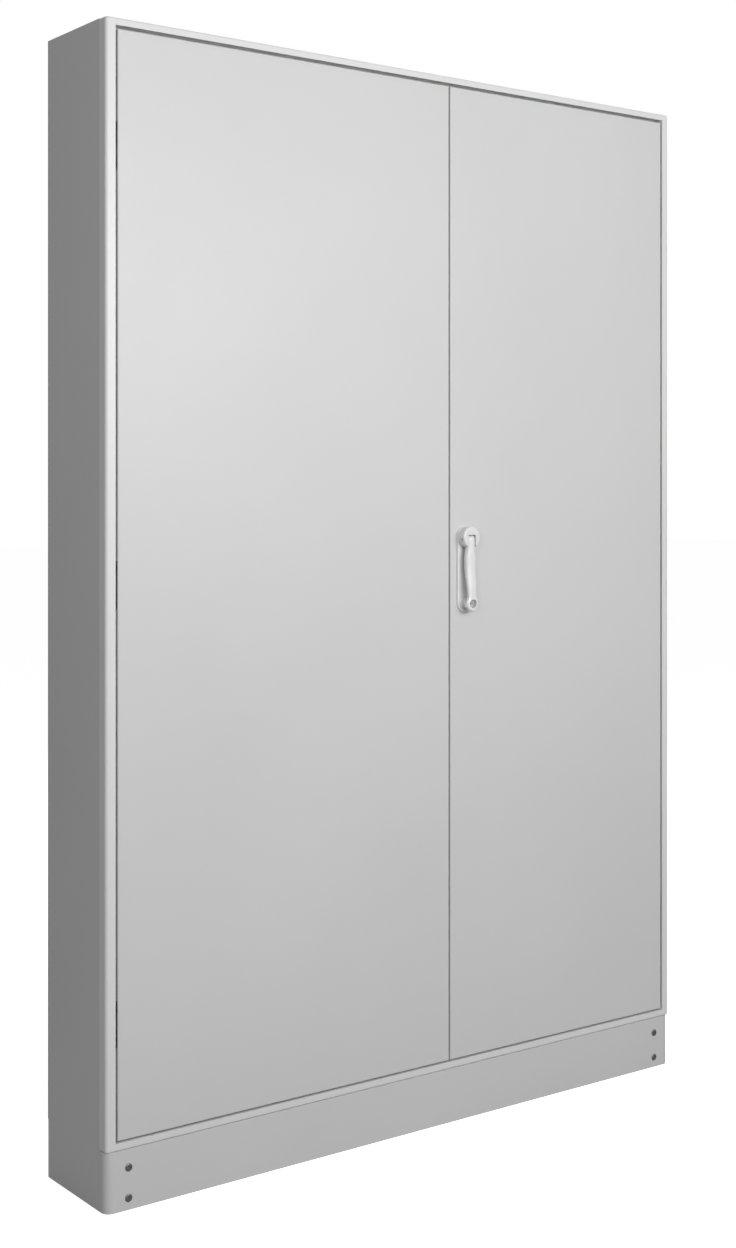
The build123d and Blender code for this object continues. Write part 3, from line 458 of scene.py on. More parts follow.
class MeshBuilder:
    """Collects closed skins into one mesh."""

    def __init__(self) -> None:
        """Starts an empty mesh."""
        self.points: list[Vector] = []
        self.faces: list[list[int]] = []

    def loft(self, rings: list[list[Vector]], loop: bool = False) -> None:
        """Joins rings of the same number of points by quads.

        Args:
            rings: The rings, in order.
            loop: Whether the last ring joins the first. If it doesn't, both ends are capped.
        """
        start, count = len(self.points), len(rings[0])
        for ring in rings:
            self.points.extend(ring)
        for i in range(len(rings) if loop else len(rings) - 1):
            a, b = start + i * count, start + (i + 1) % len(rings) * count
            for j in range(count):
                k = (j + 1) % count
                self.faces.append([a + j, a + k, b + k, b + j])
        if not loop:
            self.faces.append([start + j for j in reversed(range(count))])
            self.faces.append([start + (len(rings) - 1) * count + j for j in range(count)])

    def build(self, name: str, finish: Finish, smooth: float = 35.0) -> bpy.types.Object:
        """Makes the object.

        Args:
            name: The piece's name.
            finish: Its finish.
            smooth: The angle, in degrees, up to which neighbouring faces are shaded as one.

        Returns:
            The new object, at the frame's origin.
        """
        mesh = bpy.data.meshes.new(name)
        mesh.from_pydata(self.points, [], self.faces)
        mesh.validate()
        mesh.materials.append(finish.material)
        piece = bpy.data.objects.new(name, mesh)
        bpy.context.scene.collection.objects.link(piece)
        smooth_by_angle(piece, smooth)
        return piece


def smooth_by_angle(piece: bpy.types.Object, degrees: float) -> None:
    """Shades a piece smooth, apart from its sharp edges.

    Args:
        piece: The piece.
        degrees: The angle from which an edge counts as sharp.
    """
    mesh = piece.data
    mesh.shade_smooth()
    mesh.set_sharp_from_angle(angle=math.radians(degrees))


def across(axis: Vector) -> tuple[Vector, Vector]:
    """Two unit vectors square to an axis and to each other.

    Args:
        axis: A unit vector.

    Returns:
        The two vectors.
    """
    first = Vector((1, 0, 0)) if abs(axis.x) < 0.9 else Vector((0, 0, 1))
    second = axis.cross(first).normalized()
    return second.cross(axis).normalized(), second


def turned_ring(centre: Vector, axis: Vector, along: float, radius: Callable[[float], float],
                count: int) -> list[Vector]:
    """A ring round an axis, whose radius may change with the angle.

    Args:
        centre: A point on the axis.
        axis: The axis, a unit vector.
        along: How far along the axis the ring lies.
        radius: The radius at an angle in radians.
        count: The number of points.

    Returns:
        The ring's points.
    """
    u, v = across(axis)
    angles = [2 * math.pi * i / count for i in range(count)]
    return [centre + axis * along + (u * math.cos(a) + v * math.sin(a)) * radius(a) for a in angles]


def rounded_rectangle(width: float, height: float, radius: float, steps: int) -> list[tuple[float, float]]:
    """The outline of a rectangle with round corners, centred on zero.

    Args:
        width: The full width.
        height: The full height.
        radius: The corners' radius.
        steps: The points on each corner.

    Returns:
        The outline's points, anticlockwise.
    """
    points = []
    for corner in range(4):
        cx = (width / 2 - radius) * (1 if corner in (0, 3) else -1)
        cz = (height / 2 - radius) * (1 if corner in (0, 1) else -1)
        for i in range(steps):
            a = math.pi / 2 * (corner + i / (steps - 1))
            points.append((cx + radius * math.cos(a), cz + radius * math.sin(a)))
    return points


def eased(share: float) -> float:
    """A smooth step from 0 to 1, level at both ends."""
    share = min(1.0, max(0.0, share))
    return share * share * (3 - 2 * share)


def solids_of(node: str) -> list[tuple[Vector, Vector]]:
    """The boxes of the separate solids in a CAD node.

    Args:
        node: The node's name.

    Returns:
        The lowest and highest corner of each solid.
    """
    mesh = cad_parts[node].data
    keys = [tuple(round(c, 6) for c in v.co) for v in mesh.vertices]
    parent = {key: key for key in keys}

    def root(key: tuple[float, ...]) -> tuple[float, ...]:
        """Finds the point that stands for all the points joined to this one.

        Args:
            key: This point.

        Returns:
            The point that stands for its group.
        """
        while parent[key] != key:
            parent[key] = parent[parent[key]]
            key = parent[key]
        return key

    for edge in mesh.edges:
        a, b = (root(keys[i]) for i in edge.vertices)
        if a != b:
            parent[a] = b
    groups: dict[tuple[float, ...], list[tuple[float, ...]]] = {}
    for key in parent:
        groups.setdefault(root(key), []).append(key)
    return [
        (Vector([min(p[i] for p in group) for i in range(3)]),
         Vector([max(p[i] for p in group) for i in range(3)]))
        for group in groups.values()
    ]


def hand_over(piece: bpy.types.Object, body: str, finish: Finish, *replaced: str) -> bpy.types.Object:
    """Gives a new piece its body, and hides the CAD nodes that it stands for.

    Args:
        piece: The piece.
        body: The body that it moves with.
        finish: Its finish, named in the log.
        *replaced: The CAD nodes that it replaces.

    Returns:
        The same piece.
    """
    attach(piece, body)
    if replaced:
        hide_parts(*replaced)
    LOG.info("%s: %s, made anew, on %s", piece.name, finish.name.lower(), body)
    return piece


def dress(finish: Finish, *nodes: str) -> None:
    """Gives CAD nodes their finish.

    Args:
        finish: The finish.
        *nodes: The nodes' names.
    """
    for node in nodes:
        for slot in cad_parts[node].material_slots:
            slot.material = finish.material
        LOG.info("%s: %s", node, finish.name.lower())


def round_over(piece: bpy.types.Object, width: float, segments: int = 2,
               above: float = 40) -> bpy.types.BevelModifier:
    """Adds a modifier that rounds a piece's sharp edges.

    Args:
        piece: The piece.
        width: The width of the rounding.
        segments: The faces across it.
        above: The angle, in degrees, from which an edge counts as sharp.

    Returns:
        The modifier.
    """
    bevel = piece.modifiers.new("edges", "BEVEL")
    bevel.width, bevel.segments = width, segments
    bevel.limit_method, bevel.angle_limit = "ANGLE", math.radians(above)
    return bevel


def ease_edges(width: float, *nodes: str) -> None:
    """Rounds the sharp edges of CAD nodes, once their triangles are joined into flat faces.

    Args:
        width: The width of the rounding.
        *nodes: The nodes' names.
    """
    for node in nodes:
        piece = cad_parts[node]
        weld = piece.modifiers.new("weld", "WELD")
        weld.merge_threshold = WELD_REACH
        planes = piece.modifiers.new("planes", "DECIMATE")
        planes.decimate_type, planes.angle_limit = "DISSOLVE", math.radians(FLAT_WITHIN)
        round_over(piece, width).harden_normals = True


# ---------------------------------------------------------------- fasteners

CROSS_WAIST = 0.34
# Rings of a hexagon head and of a recess: shares of the head's height and of the outline's radius.
HEX_RINGS = ((0, 1), (0.8, 1), (0.98, 0.9), (1, 0.8))
RECESS_RINGS = ((1, 1.06), (0.93, 1), (0.15, 0.85))
DISH_RING = (0.93, 0.62)


class Drive(Enum):
    """How a screw is turned."""

    HEX_SOCKET = "hexagon socket"
    CROSS = "cross recess"
    HEX_HEAD = "hexagon head"


@dataclass(frozen=True)
class Screw:
    """One kind of screw head, with an optional washer under it."""

    radius: float
    height: float
    drive: Drive
    washer_radius: float = 0.0
    washer_height: float = 0.0
    recess: float = 2.6 * MM
    rim: float = 0.3
    dome: float = 0.35
    dome_steps: int = 5
    steps: int = 36

    def outline(self, angle: float) -> float:
        """The recess's or the head's radius at an angle, in the drive's shape.

        Args:
            angle: The angle round the screw, in radians.

        Returns:
            The radius there.
        """
        if self.drive is Drive.CROSS:
            return self.recess * (CROSS_WAIST + (1 - CROSS_WAIST) * abs(math.cos(2 * angle)) ** 3)
        turn = (angle + math.pi / 6) % (math.pi / 3) - math.pi / 6
        size = self.radius if self.drive is Drive.HEX_HEAD else self.recess
        return size * math.cos(math.pi / 6) / math.cos(turn)

    def add(self, builder: MeshBuilder, tip: Vector, out: Vector) -> None:
        """Adds one head, and its washer.

        Args:
            builder: The mesh that takes it.
            tip: The middle of the head's outer face.
            out: The direction that the head faces.
        """
        base = tip - out * self.height
        rings: list[list[Vector]] = []

        def ring(rise: float, share: float, shape: Callable[[float], float]) -> None:
            """Adds one ring at a share of the head's height, at a share of a shape's radius."""
            rings.append(turned_ring(base, out, self.height * rise, lambda a: shape(a) * share, self.steps))

        def disc(_: float) -> float:
            """The radius of a round head."""
            return self.radius

        if self.drive is Drive.HEX_HEAD:
            for rise, share in HEX_RINGS:
                ring(rise, share, self.outline)
            ring(*DISH_RING, disc)
        else:
            ring(0, 1, disc)
            for i in range(self.dome_steps + 1):
                a = math.pi / 2 * i / self.dome_steps
                ring(self.rim + (1 - self.rim) * math.sin(a), 1 - self.dome * (1 - math.cos(a)), disc)
            for rise, share in RECESS_RINGS:
                ring(rise, share, self.outline)
        builder.loft(rings)
        if self.washer_radius:
            builder.loft([
                turned_ring(base, out, along, lambda _, r=radius: r, self.steps)
                for along, radius in (
                    (-self.washer_height, self.washer_radius),
                    (-self.washer_height * 0.25, self.washer_radius),
                    (0, self.washer_radius * 0.96), (0.01 * MM, self.radius * 0.5),
                )
            ])


def screw_set(name: str, node: str, body: str, screw: Screw, finish: Finish,
              facing: Callable[[Vector, Vector], Vector]) -> bpy.types.Object:
    """Replaces a CAD node of screws by finished heads.

    Args:
        name: The new piece's name.
        node: The CAD node.
        body: The body that the screws ride on.
        screw: Their kind.
        finish: Their finish.
        facing: Gives the way a head faces, from its solid's corners.

    Returns:
        The new piece.
    """
    builder = MeshBuilder()
    for low, high in solids_of(node):
        out = facing(low, high)
        middle = (low + high) / 2
        reach = abs((high - low).dot(out)) / 2
        screw.add(builder, middle + out * reach, out)
    return hand_over(builder.build(name, finish), body, finish, node)


def facing_front(low: Vector, high: Vector) -> Vector:
    """Heads that face the doors."""
    return FORWARD


def facing_outwards(low: Vector, high: Vector) -> Vector:
    """Heads that face the front or the rear, whichever they are nearer."""
    return FORWARD if low.y + high.y < CAD_BOX[0][1] + CAD_BOX[1][1] else BACKWARD


def facing_inwards(low: Vector, high: Vector) -> Vector:
    """Heads on the gland plates, which face the middle of the cabinet."""
    return Vector((0, 0, -1 if low.z > CAD_BOX[1][2] / 2 else 1))


# ---------------------------------------------------------------- sub-assemblies


@dataclass
class Body:
    """The sheet-steel body with its gland plates, grommets and screws."""

    rear_screw: Screw = Screw(4.5 * MM, 2.0 * MM, Drive.CROSS)
    gland_screw: Screw = Screw(3.5 * MM, 2.0 * MM, Drive.CROSS, recess=2.1 * MM)
    neck: float = 0.84
    skirt: float = 2.4 * MM
    skirt_end: float = 3.0 * MM
    cap: float = 1.4 * MM
    rib_radii: tuple[float, ...] = (0.8, 0.58, 0.36)
    rib_slope: float = 0.6 * MM
    valley: float = 2.4 * MM
    valley_end: float = 3.0 * MM
    valley_depth: float = 0.9 * MM
    grommet_steps: int = 48

    def grommet_profile(self, radius: float, height: float) -> list[tuple[float, float]]:
        """One grommet's section: a skirt inside, a neck in the plate, and a ribbed membrane outside.

        Args:
            radius: The grommet's largest radius.
            height: Its full height.

        Returns:
            Pairs of a height and a radius, from the inside out.
        """
        profile = [(0.0, radius * 0.93), (0.3 * MM, radius * 0.99), (self.skirt, radius * 0.99)]
        profile += [(self.skirt_end, radius * self.neck), (height - self.cap, radius * self.neck)]
        profile += [(height - 1.3 * MM, radius), (height - 0.6 * MM, radius), (height, radius * 0.94)]
        for share in self.rib_radii:
            outer = radius * share
            profile += [
                (height - 0.1 * MM, outer), (height - self.valley_depth, outer - self.rib_slope),
                (height - self.valley_depth, outer - self.valley),
                (height - 0.35 * MM, outer - self.valley_end),
            ]
        return profile + [(height - 0.5 * MM, 0.5 * MM)]

    def grommets(self, node: str, outwards: int) -> bpy.types.Object:
        """Membrane grommets with raised rings.

        Args:
            node: The CAD node that they replace.
            outwards: 1 where the outside is up, -1 where it is down.

        Returns:
            The new piece.
        """
        builder = MeshBuilder()
        for low, high in solids_of(node):
            centre = Vector(((low.x + high.x) / 2, (low.y + high.y) / 2, low.z if outwards > 0 else high.z))
            axis = Vector((0, 0, outwards))
            builder.loft([
                turned_ring(centre, axis, along, lambda _, r=size: r, self.grommet_steps)
                for along, size in self.grommet_profile((high.x - low.x) / 2, high.z - low.z)
            ])
        return hand_over(builder.build(node.replace("grommets", "membranes"), Finish.GROMMET),
                         "enclosure", Finish.GROMMET, node)

    def build(self) -> None:
        """Dresses the body and adds its small pieces."""
        dress(Finish.BODY, "side_panel_left", "side_panel_right", "top_panel", "bottom_panel",
              "rear_panel", "top_gland_plates", "bottom_gland_plates", "centre_post")
        # The front frame gets the lighter coat, which paints a highlight along its edge.
        dress(Finish.FRAME, "front_frame")
        self.grommets("top_grommets", 1)
        self.grommets("bottom_grommets", -1)
        screw_set("rear_panel_screw_heads", "rear_panel_screws", "enclosure", self.rear_screw,
                  Finish.UPRIGHT_STEEL, facing_outwards)
        screw_set("gland_screw_heads", "gland_screws", "enclosure", self.gland_screw,
                  Finish.UPRIGHT_STEEL, facing_inwards)
        LOG.info("body dressed")


@dataclass
class Plinth:
    """The plinth's panels, corner brackets and screws."""

    screw: Screw = Screw(6.5 * MM, 2.0 * MM, Drive.HEX_SOCKET, recess=3.2 * MM)

    def build(self) -> None:
        """Dresses the plinth."""
        dress(Finish.PLINTH, "plinth_front", "plinth_rear", "plinth_side_left", "plinth_side_right")
        dress(Finish.GALVANISED, "plinth_brackets")
        screw_set("plinth_screw_heads", "plinth_screws", "enclosure", self.screw, Finish.FASTENER,
                  facing_outwards)
        LOG.info("plinth dressed")


@dataclass
class Door:
    """One door with its seal, stiffeners and hinges.

    Args:
        side: The word, left or right, that its nodes' names start with.
    """

    side: str
    seal_corner: float = 14 * MM
    seal_width: float = 10.5 * MM
    seal_shoulder: float = 2.2 * MM
    seal_bulge: float = 0.8
    seal_steps: int = 14
    foot_screw: Screw = Screw(4 * MM, 1.6 * MM, Drive.CROSS, recess=2.3 * MM)
    foot_thickness: float = 2 * MM
    foot_screw_inset: float = 6 * MM
    corner_steps: int = 8
    edge: float = 0.5 * MM

    @property
    def body(self) -> str:
        """The body that the door's pieces ride on."""
        return f"{self.side}_door"

    def seal(self) -> bpy.types.Object:
        """A foam bead round the door, in one closed run with round corners.

        Returns:
            The new piece.
        """
        node = f"{self.side}_door_gasket"
        low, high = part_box(node)
        centre = (low + high) / 2
        half, height = self.seal_width / 2, high.y - low.y
        dome = height - self.seal_shoulder
        section = [(-half, 0.0), (-half, self.seal_shoulder)]
        for i in range(1, self.seal_steps):
            a = math.pi * i / self.seal_steps
            section.append((-half * math.cos(a), self.seal_shoulder + dome * math.sin(a) ** self.seal_bulge))
        section += [(half, self.seal_shoulder), (half, 0.0)]
        width, length = high.x - low.x - self.seal_width, high.z - low.z - self.seal_width
        path = rounded_rectangle(width, length, self.seal_corner, self.corner_steps)
        rings = []
        for i, (x, z) in enumerate(path):
            before, after = Vector(path[i - 1]), Vector(path[(i + 1) % len(path)])
            step = (after - before).normalized()
            across_x, across_z = step.y, -step.x
            rings.append([
                Vector((centre.x + x + across_x * u, low.y + v, centre.z + z + across_z * u))
                for u, v in section
            ])
        builder = MeshBuilder()
        builder.loft(rings, loop=True)
        piece = hand_over(builder.build(f"{self.side}_door_seal", Finish.FOAM), self.body, Finish.FOAM, node)
        return piece

    def foot_screws(self) -> bpy.types.Object:
        """Pan-head screws in the hinge feet, above and below each arm.

        Returns:
            The new piece, which rides on the enclosure.
        """
        builder = MeshBuilder()
        seat = max(high.y for _, high in solids_of(f"{self.side}_hinge_arms"))
        for low, high in solids_of(f"{self.side}_hinge_arms"):
            middle = (low + high) / 2
            rise = (high.z - low.z) / 2 - self.foot_screw_inset
            for z in (middle.z - rise, middle.z + rise):
                tip = Vector((middle.x, seat - self.foot_thickness - self.foot_screw.height, z))
                self.foot_screw.add(builder, tip, FORWARD)
        name = f"{self.side}_hinge_foot_screws"
        return hand_over(builder.build(name, Finish.UPRIGHT_STEEL), "enclosure", Finish.UPRIGHT_STEEL)

    def build(self) -> None:
        """Dresses the door, and adds its seal and its hinges' screws."""
        side = self.side
        dress(Finish.DOOR, f"{side}_door_panel")
        dress(Finish.GALVANISED, f"{side}_door_stiffeners")
        dress(Finish.UPRIGHT_STEEL, f"{side}_hinge_arms", f"{side}_hinge_blocks", f"{side}_hinge_pins",
              f"{side}_door_earth_stud")
        ease_edges(self.edge, f"{side}_hinge_arms", f"{side}_hinge_blocks", f"{side}_door_earth_stud")
        self.seal()
        self.foot_screws()
        LOG.info("%s door dressed", side)


@dataclass
class LeftDoorFittings:
    """The bolts and the document pocket of the door that has no handle."""

    edge: float = 0.6 * MM

    def build(self) -> None:
        """Dresses the fittings."""
        dress(Finish.UPRIGHT_STEEL, "left_upper_bolt", "left_lower_bolt")
        dress(Finish.GALVANISED, "left_bolt_brackets")
        dress(Finish.POCKET, "document_pocket")
        ease_edges(self.edge, "left_bolt_brackets", "document_pocket", "left_upper_bolt", "left_lower_bolt")
        LOG.info("left door fittings dressed")


@dataclass
class Handle:
    """The swing handle: base plate, turning head, lever and lock plug."""

    root_width: float = 18 * MM
    waist_width: float = 24 * MM
    neck_width: float = 19 * MM
    eye_radius: float = 14 * MM
    eye_hole: float = 8 * MM
    eye_thickness: float = 9.8 * MM
    eye_edge: float = 0.8 * MM
    eye_steps: int = 64
    tip_round: float = 3.5 * MM
    tip_depth: float = 0.45
    clearance: float = 0.2 * MM
    bend_from: float = 0.4
    bend_length: float = 0.4
    section_power: float = 2.5
    section_steps: int = 40
    rows: int = 64
    least_half_width: float = 0.4 * MM
    least_root_depth: float = 0.3 * MM
    smooth: float = 40
    edge: float = 0.4 * MM

    @property
    def grip_outline(self) -> list[tuple[float, float]]:
        """The grip's outline, from the top down to the eye.

        Returns:
            Pairs of a share of the lever's length and the half-width there.
        """
        root, waist, neck = self.root_width / 2, self.waist_width / 2, self.neck_width / 2
        return [
            (0.0, root * 0.84), (0.05, root), (0.17, root), (0.3, waist), (0.55, waist * 0.94), (0.8, neck),
        ]

    def half_width_at(self, share: float, eye_share: float) -> float:
        """The lever's half-width at a share of its length from the top.

        Args:
            share: From 0 at the top to 1 at the tip.
            eye_share: Where the eye's centre is.

        Returns:
            The half-width.
        """
        outline = self.grip_outline
        width = outline[-1][1]
        for (s0, w0), (s1, w1) in zip(outline, outline[1:]):
            if s0 <= share < s1:
                width = w0 + (w1 - w0) * eased((share - s0) / (s1 - s0))
                break
        from_eye = (share - eye_share) * self.eye_radius / (1 - eye_share)
        across_eye = math.sqrt(max(0.0, self.eye_radius**2 - from_eye**2))
        width = max(width, across_eye) if from_eye < 0 else across_eye
        return max(width, self.least_half_width)

    def lever_ring(self, centre: Vector, half_width: float, half_depth: float) -> list[Vector]:
        """One level section of the lever: a rounded rectangle.

        Args:
            centre: Its middle.
            half_width: Half its size along X.
            half_depth: Half its size along Y.

        Returns:
            The section's points.
        """
        def swollen(value: float) -> float:
            """A sine or cosine pushed outwards, which makes a circle squarer."""
            return math.copysign(abs(value) ** (2 / self.section_power), value)

        angles = [2 * math.pi * j / self.section_steps for j in range(self.section_steps)]
        return [
            centre + Vector((half_width * swollen(math.cos(a)), half_depth * swollen(math.sin(a)), 0))
            for a in angles
        ]

    def lever(self) -> bpy.types.Object:
        """The lever: a crowned grip that curves away from the plate and ends in an eye.

        Returns:
            The new piece.
        """
        low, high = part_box("handle_lever")
        pin_low, pin_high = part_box("lever_pin")
        pin_y, pin_z = (pin_low.y + pin_high.y) / 2, (pin_low.z + pin_high.z) / 2
        root_radius = high.z - pin_z - self.clearance
        middle = (low.x + high.x) / 2
        length = high.z - low.z
        eye_z = low.z + self.eye_radius
        eye_share = (high.z - eye_z) / length
        rings = []
        for i in range(self.rows + 1):
            share = (1 - math.cos(math.pi * i / self.rows)) / 2
            z = high.z - share * length
            bend = eased((share - self.bend_from) / self.bend_length)
            front = (pin_y - root_radius) * (1 - bend) + (low.y + self.clearance) * bend
            back = (pin_y + root_radius) * (1 - bend) + (low.y + self.eye_thickness) * bend
            if z > pin_z:
                depth = math.sqrt(max(root_radius**2 - (z - pin_z) ** 2, self.least_root_depth**2))
            else:
                to_tip = 1 - min(1.0, (z - low.z) / self.tip_round)
                fullness = self.tip_depth + (1 - self.tip_depth) * math.sqrt(1 - to_tip**2)
                depth = (back - front) / 2 * fullness
            centre = Vector((middle, (front + back) / 2, z))
            rings.append(self.lever_ring(centre, self.half_width_at(share, eye_share), depth))
        builder = MeshBuilder()
        builder.loft(rings)
        piece = builder.build("lever_grip", Finish.HANDLE, self.smooth)
        self.cut_eye(piece, Vector((middle, (low.y + high.y) / 2, eye_z)), high.y - low.y)
        return hand_over(piece, "lever", Finish.HANDLE, "handle_lever")

    def cut_eye(self, piece: bpy.types.Object, centre: Vector, depth: float) -> None:
        """Cuts the round eye through the lever, and eases the cut's edges.

        Args:
            piece: The lever.
            centre: The eye's centre.
            depth: How deep the cut has to be.
        """
        cutter = MeshBuilder()
        cutter.loft([
            turned_ring(centre, BACKWARD, along, lambda _: self.eye_hole, self.eye_steps)
            for along in (-depth, depth)
        ])
        tool = cutter.build("eye_cutter", Finish.HANDLE)
        cut = piece.modifiers.new("eye", "BOOLEAN")
        cut.operation, cut.object, cut.solver = "DIFFERENCE", tool, "EXACT"
        round_over(piece, self.eye_edge, segments=3, above=50)
        settled = bpy.data.meshes.new_from_object(
            piece.evaluated_get(bpy.context.evaluated_depsgraph_get())
        )
        piece.modifiers.clear()
        piece.data = settled
        bpy.data.objects.remove(tool)
        smooth_by_angle(piece, self.smooth)

    def build(self) -> None:
        """Dresses the handle and adds its lever."""
        dress(Finish.HANDLE, "handle_base_plate", "handle_hub", "key_cylinder_housing")
        dress(Finish.UPRIGHT_STEEL, "lever_pin")
        # The key plug's near-black steel paints shade into the lever's eye.
        dress(Finish.LOCK, "key_plug")
        ease_edges(self.edge, "key_plug", "handle_hub")
        self.lever()
        LOG.info("handle built")


@dataclass
class RodLock:
    """The rack-and-pinion rod lock behind the handle."""

    cover_screw: Screw = Screw(2.6 * MM, 1.5 * MM, Drive.CROSS, recess=1.6 * MM)
    screw_inset: float = 6 * MM
    edge: float = 0.4 * MM

    def cover_screws(self) -> bpy.types.Object:
        """Four small screws in the corners of the lock case's cover.

        Returns:
            The new piece.
        """
        low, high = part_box("lock_case_cover")
        builder = MeshBuilder()
        for x in (low.x + self.screw_inset, high.x - self.screw_inset):
            for z in (low.z + self.screw_inset, high.z - self.screw_inset):
                tip = Vector((x, high.y + self.cover_screw.height, z))
                self.cover_screw.add(builder, tip, BACKWARD)
        piece = builder.build("lock_cover_screws", Finish.UPRIGHT_STEEL)
        return hand_over(piece, "right_door", Finish.UPRIGHT_STEEL)

    def build(self) -> None:
        """Dresses the lock."""
        dress(Finish.GALVANISED, "lock_case", "lock_case_cover")
        dress(Finish.UPRIGHT_STEEL, "upper_lock_rod", "lower_lock_rod", "drive_pinion")
        dress(Finish.PLASTIC, "lock_rod_guides")
        ease_edges(self.edge, "lock_case", "lock_case_cover", "lock_rod_guides")
        self.cover_screws()
        LOG.info("rod lock dressed")


@dataclass
class MountingFrame:
    """The uprights, rails, mounting plate and earth bar inside."""

    rail_screw: Screw = Screw(5 * MM, 3 * MM, Drive.CROSS)
    plate_screw: Screw = Screw(5.5 * MM, 4 * MM, Drive.HEX_HEAD, 6.5 * MM, 1.5 * MM)
    earth_screw: Screw = Screw(5 * MM, 4 * MM, Drive.HEX_HEAD, 6 * MM, 1.5 * MM)
    edge: float = 0.5 * MM

    def build(self) -> None:
        """Dresses the frame and adds its screws."""
        dress(Finish.GALVANISED, "rail_upright_left", "rail_upright_right", "plate_upright_left",
              "plate_upright_right", "mounting_plate")
        dress(Finish.CROSS_STEEL, "mounting_rails")
        dress(Finish.COPPER, "earth_bar")
        dress(Finish.PLASTIC, "earth_bar_supports")
        ease_edges(self.edge, "earth_bar", "earth_bar_supports", "mounting_plate")
        for node, screw in (
            ("rail_screws", self.rail_screw), ("mounting_plate_screws", self.plate_screw),
            ("earth_bar_screws", self.earth_screw),
        ):
            screw_set(node.replace("screws", "screw_heads"), node, "enclosure", screw,
                      Finish.UPRIGHT_STEEL, facing_front)
        LOG.info("mounting frame dressed")


# ---------------------------------------------------------------- studio


@dataclass(frozen=True)
class SoftBox:
    """One soft rectangular light, unseen by the camera."""

    name: str
    place: Triple
    aim: Triple
    size: Span
    power: float

    def build(self) -> None:
        """Hangs the light in the scene, turned towards its aim."""
        data = bpy.data.lights.new(self.name, "AREA")
        data.shape, data.size, data.size_y, data.energy = "RECTANGLE", *self.size, self.power
        lamp = bpy.data.objects.new(self.name, data)
        lamp.location = self.place
        towards = Vector(self.aim) - Vector(self.place)
        lamp.rotation_euler = towards.to_track_quat("-Z", "Y").to_euler()
        lamp.visible_camera = False
        bpy.context.scene.collection.objects.link(lamp)


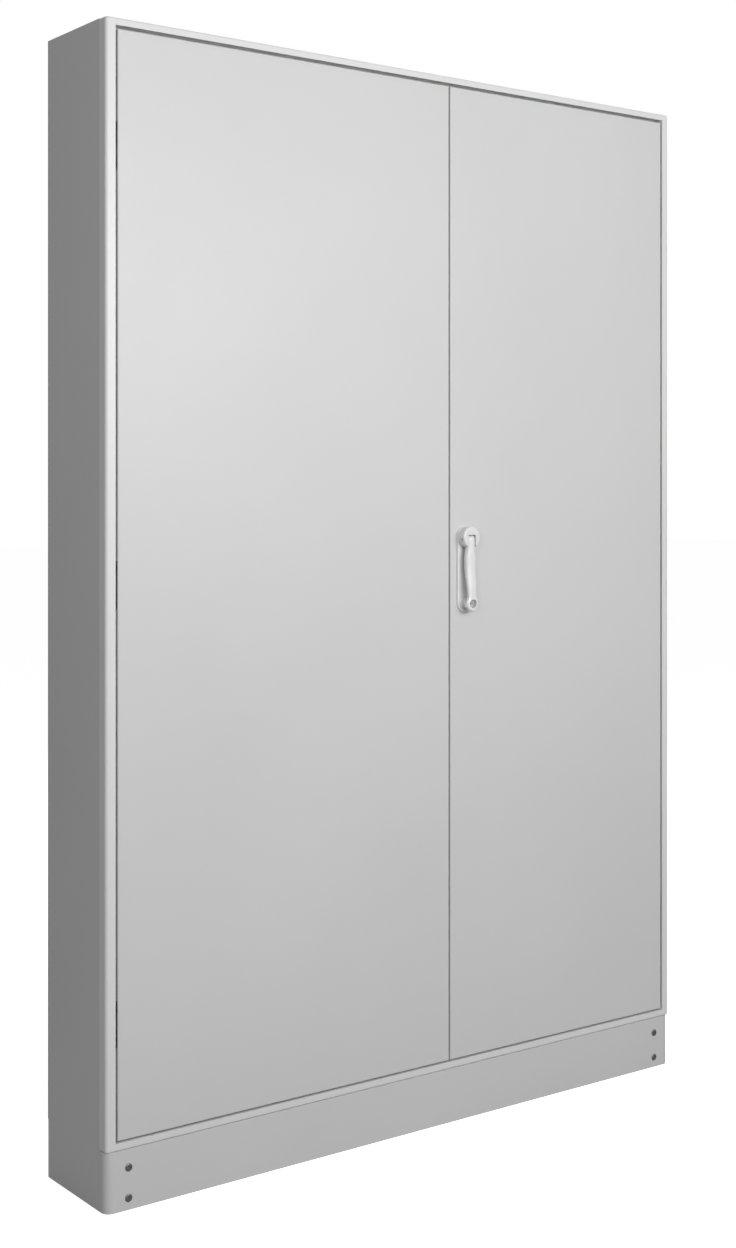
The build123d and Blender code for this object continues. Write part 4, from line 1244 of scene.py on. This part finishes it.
@dataclass
class Studio:
    """The pale floor, the soft lights and the camera."""

    front: float = field(default_factory=lambda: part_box("front_frame")[0].y)
    camera_place: Triple = (-2.0325, -2.5764, 1.1787)
    camera_turn: float = -36.59
    lens: float = 51.39
    shift: float = -0.1071
    sensor_width: float = 36
    fill: float = 0.34
    floor_colour: Colour = (0.85, 0.85, 0.85)
    floor_bounce: Colour = (0.3, 0.3, 0.3)
    floor_glow: float = 0.7
    floor_half_size: float = 30.0
    floor_thickness: float = 0.02
    soft_boxes: tuple[SoftBox, ...] = (
        SoftBox("key", (0.1, -2.9, 1.85), (-0.05, 0, 1.55), (2.4, 0.9), 71),
        SoftBox("side", (-3.6, -3.0, 1.9), (-0.2, -0.1, 1.2), (0.9, 1.8), 31),
        SoftBox("back", (2.2, 3.6, 2.3), (0, 0.1, 1.0), (2.4, 1.6), 45),
    )

    def camera(self) -> None:
        """Places a level camera in front of the left-hand corner, with its shift towards the floor."""
        data = bpy.data.cameras.new("camera")
        data.lens, data.sensor_width, data.shift_y = self.lens, self.sensor_width, self.shift
        camera = bpy.data.objects.new("camera", data)
        x, away, z = self.camera_place
        camera.location = (x, self.front + away, z)
        camera.rotation_euler = (math.radians(90), 0, math.radians(self.camera_turn))
        bpy.context.scene.collection.objects.link(camera)
        bpy.context.scene.camera = camera

    def floor(self) -> None:
        """A wide pale floor that shows soft shadows, and throws little light back."""
        builder = MeshBuilder()
        size = self.floor_half_size
        corners = [Vector((x * size, y * size, 0)) for x, y in ((-1, -1), (1, -1), (1, 1), (-1, 1))]
        builder.loft([[c - Vector((0, 0, self.floor_thickness)) for c in corners], corners])
        floor = builder.build("studio_floor", Finish.BODY)
        material = bpy.data.materials.new("studio_floor")
        material.use_nodes = True
        nodes, links = material.node_tree.nodes, material.node_tree.links
        nodes.clear()
        seen = nodes.new("ShaderNodeLightPath").outputs["Is Camera Ray"]
        pale, dull = nodes.new("ShaderNodeBsdfDiffuse"), nodes.new("ShaderNodeBsdfDiffuse")
        glow, add = nodes.new("ShaderNodeEmission"), nodes.new("ShaderNodeAddShader")
        mix = nodes.new("ShaderNodeMixShader")
        pale.inputs["Color"].default_value = (*self.floor_colour, 1)
        dull.inputs["Color"].default_value = (*self.floor_bounce, 1)
        glow.inputs["Strength"].default_value = self.floor_glow
        links.new(pale.outputs[0], add.inputs[0])
        links.new(glow.outputs[0], add.inputs[1])
        links.new(seen, mix.inputs["Fac"])
        links.new(dull.outputs[0], mix.inputs[1])
        links.new(add.outputs[0], mix.inputs[2])
        links.new(mix.outputs[0], nodes.new("ShaderNodeOutputMaterial").inputs["Surface"])
        floor.data.materials.clear()
        floor.data.materials.append(material)

    def world(self) -> None:
        """White behind the object, and a dimmer white that fills its shadows."""
        world = bpy.data.worlds.new("studio")
        world.use_nodes = True
        nodes, links = world.node_tree.nodes, world.node_tree.links
        nodes.clear()
        seen = nodes.new("ShaderNodeLightPath").outputs["Is Camera Ray"]
        fill, white = nodes.new("ShaderNodeBackground"), nodes.new("ShaderNodeBackground")
        mix = nodes.new("ShaderNodeMixShader")
        fill.inputs["Strength"].default_value = self.fill
        fill.inputs["Color"].default_value = (1, 1, 1, 1)
        white.inputs["Color"].default_value = (1, 1, 1, 1)
        links.new(seen, mix.inputs["Fac"])
        links.new(fill.outputs[0], mix.inputs[1])
        links.new(white.outputs[0], mix.inputs[2])
        links.new(mix.outputs[0], nodes.new("ShaderNodeOutputWorld").inputs["Surface"])
        bpy.context.scene.world = world

    def build(self) -> None:
        """Sets up the whole studio."""
        bpy.context.scene.view_settings.view_transform = "Standard"
        bpy.context.scene.view_settings.look = "None"
        self.camera()
        self.floor()
        self.world()
        for box in self.soft_boxes:
            box.build()
        LOG.info("studio set up")


def main() -> None:
    """Builds the studio and every sub-assembly."""
    logging.basicConfig(level=logging.INFO, format="%(name)s: %(message)s")
    Studio().build()
    for part in (Body(), Plinth(), Door("left"), Door("right"), LeftDoorFittings(), Handle(), RodLock(),
                 MountingFrame()):
        part.build()
    bpy.context.view_layer.update()


if __name__ == "__main__":
    main()
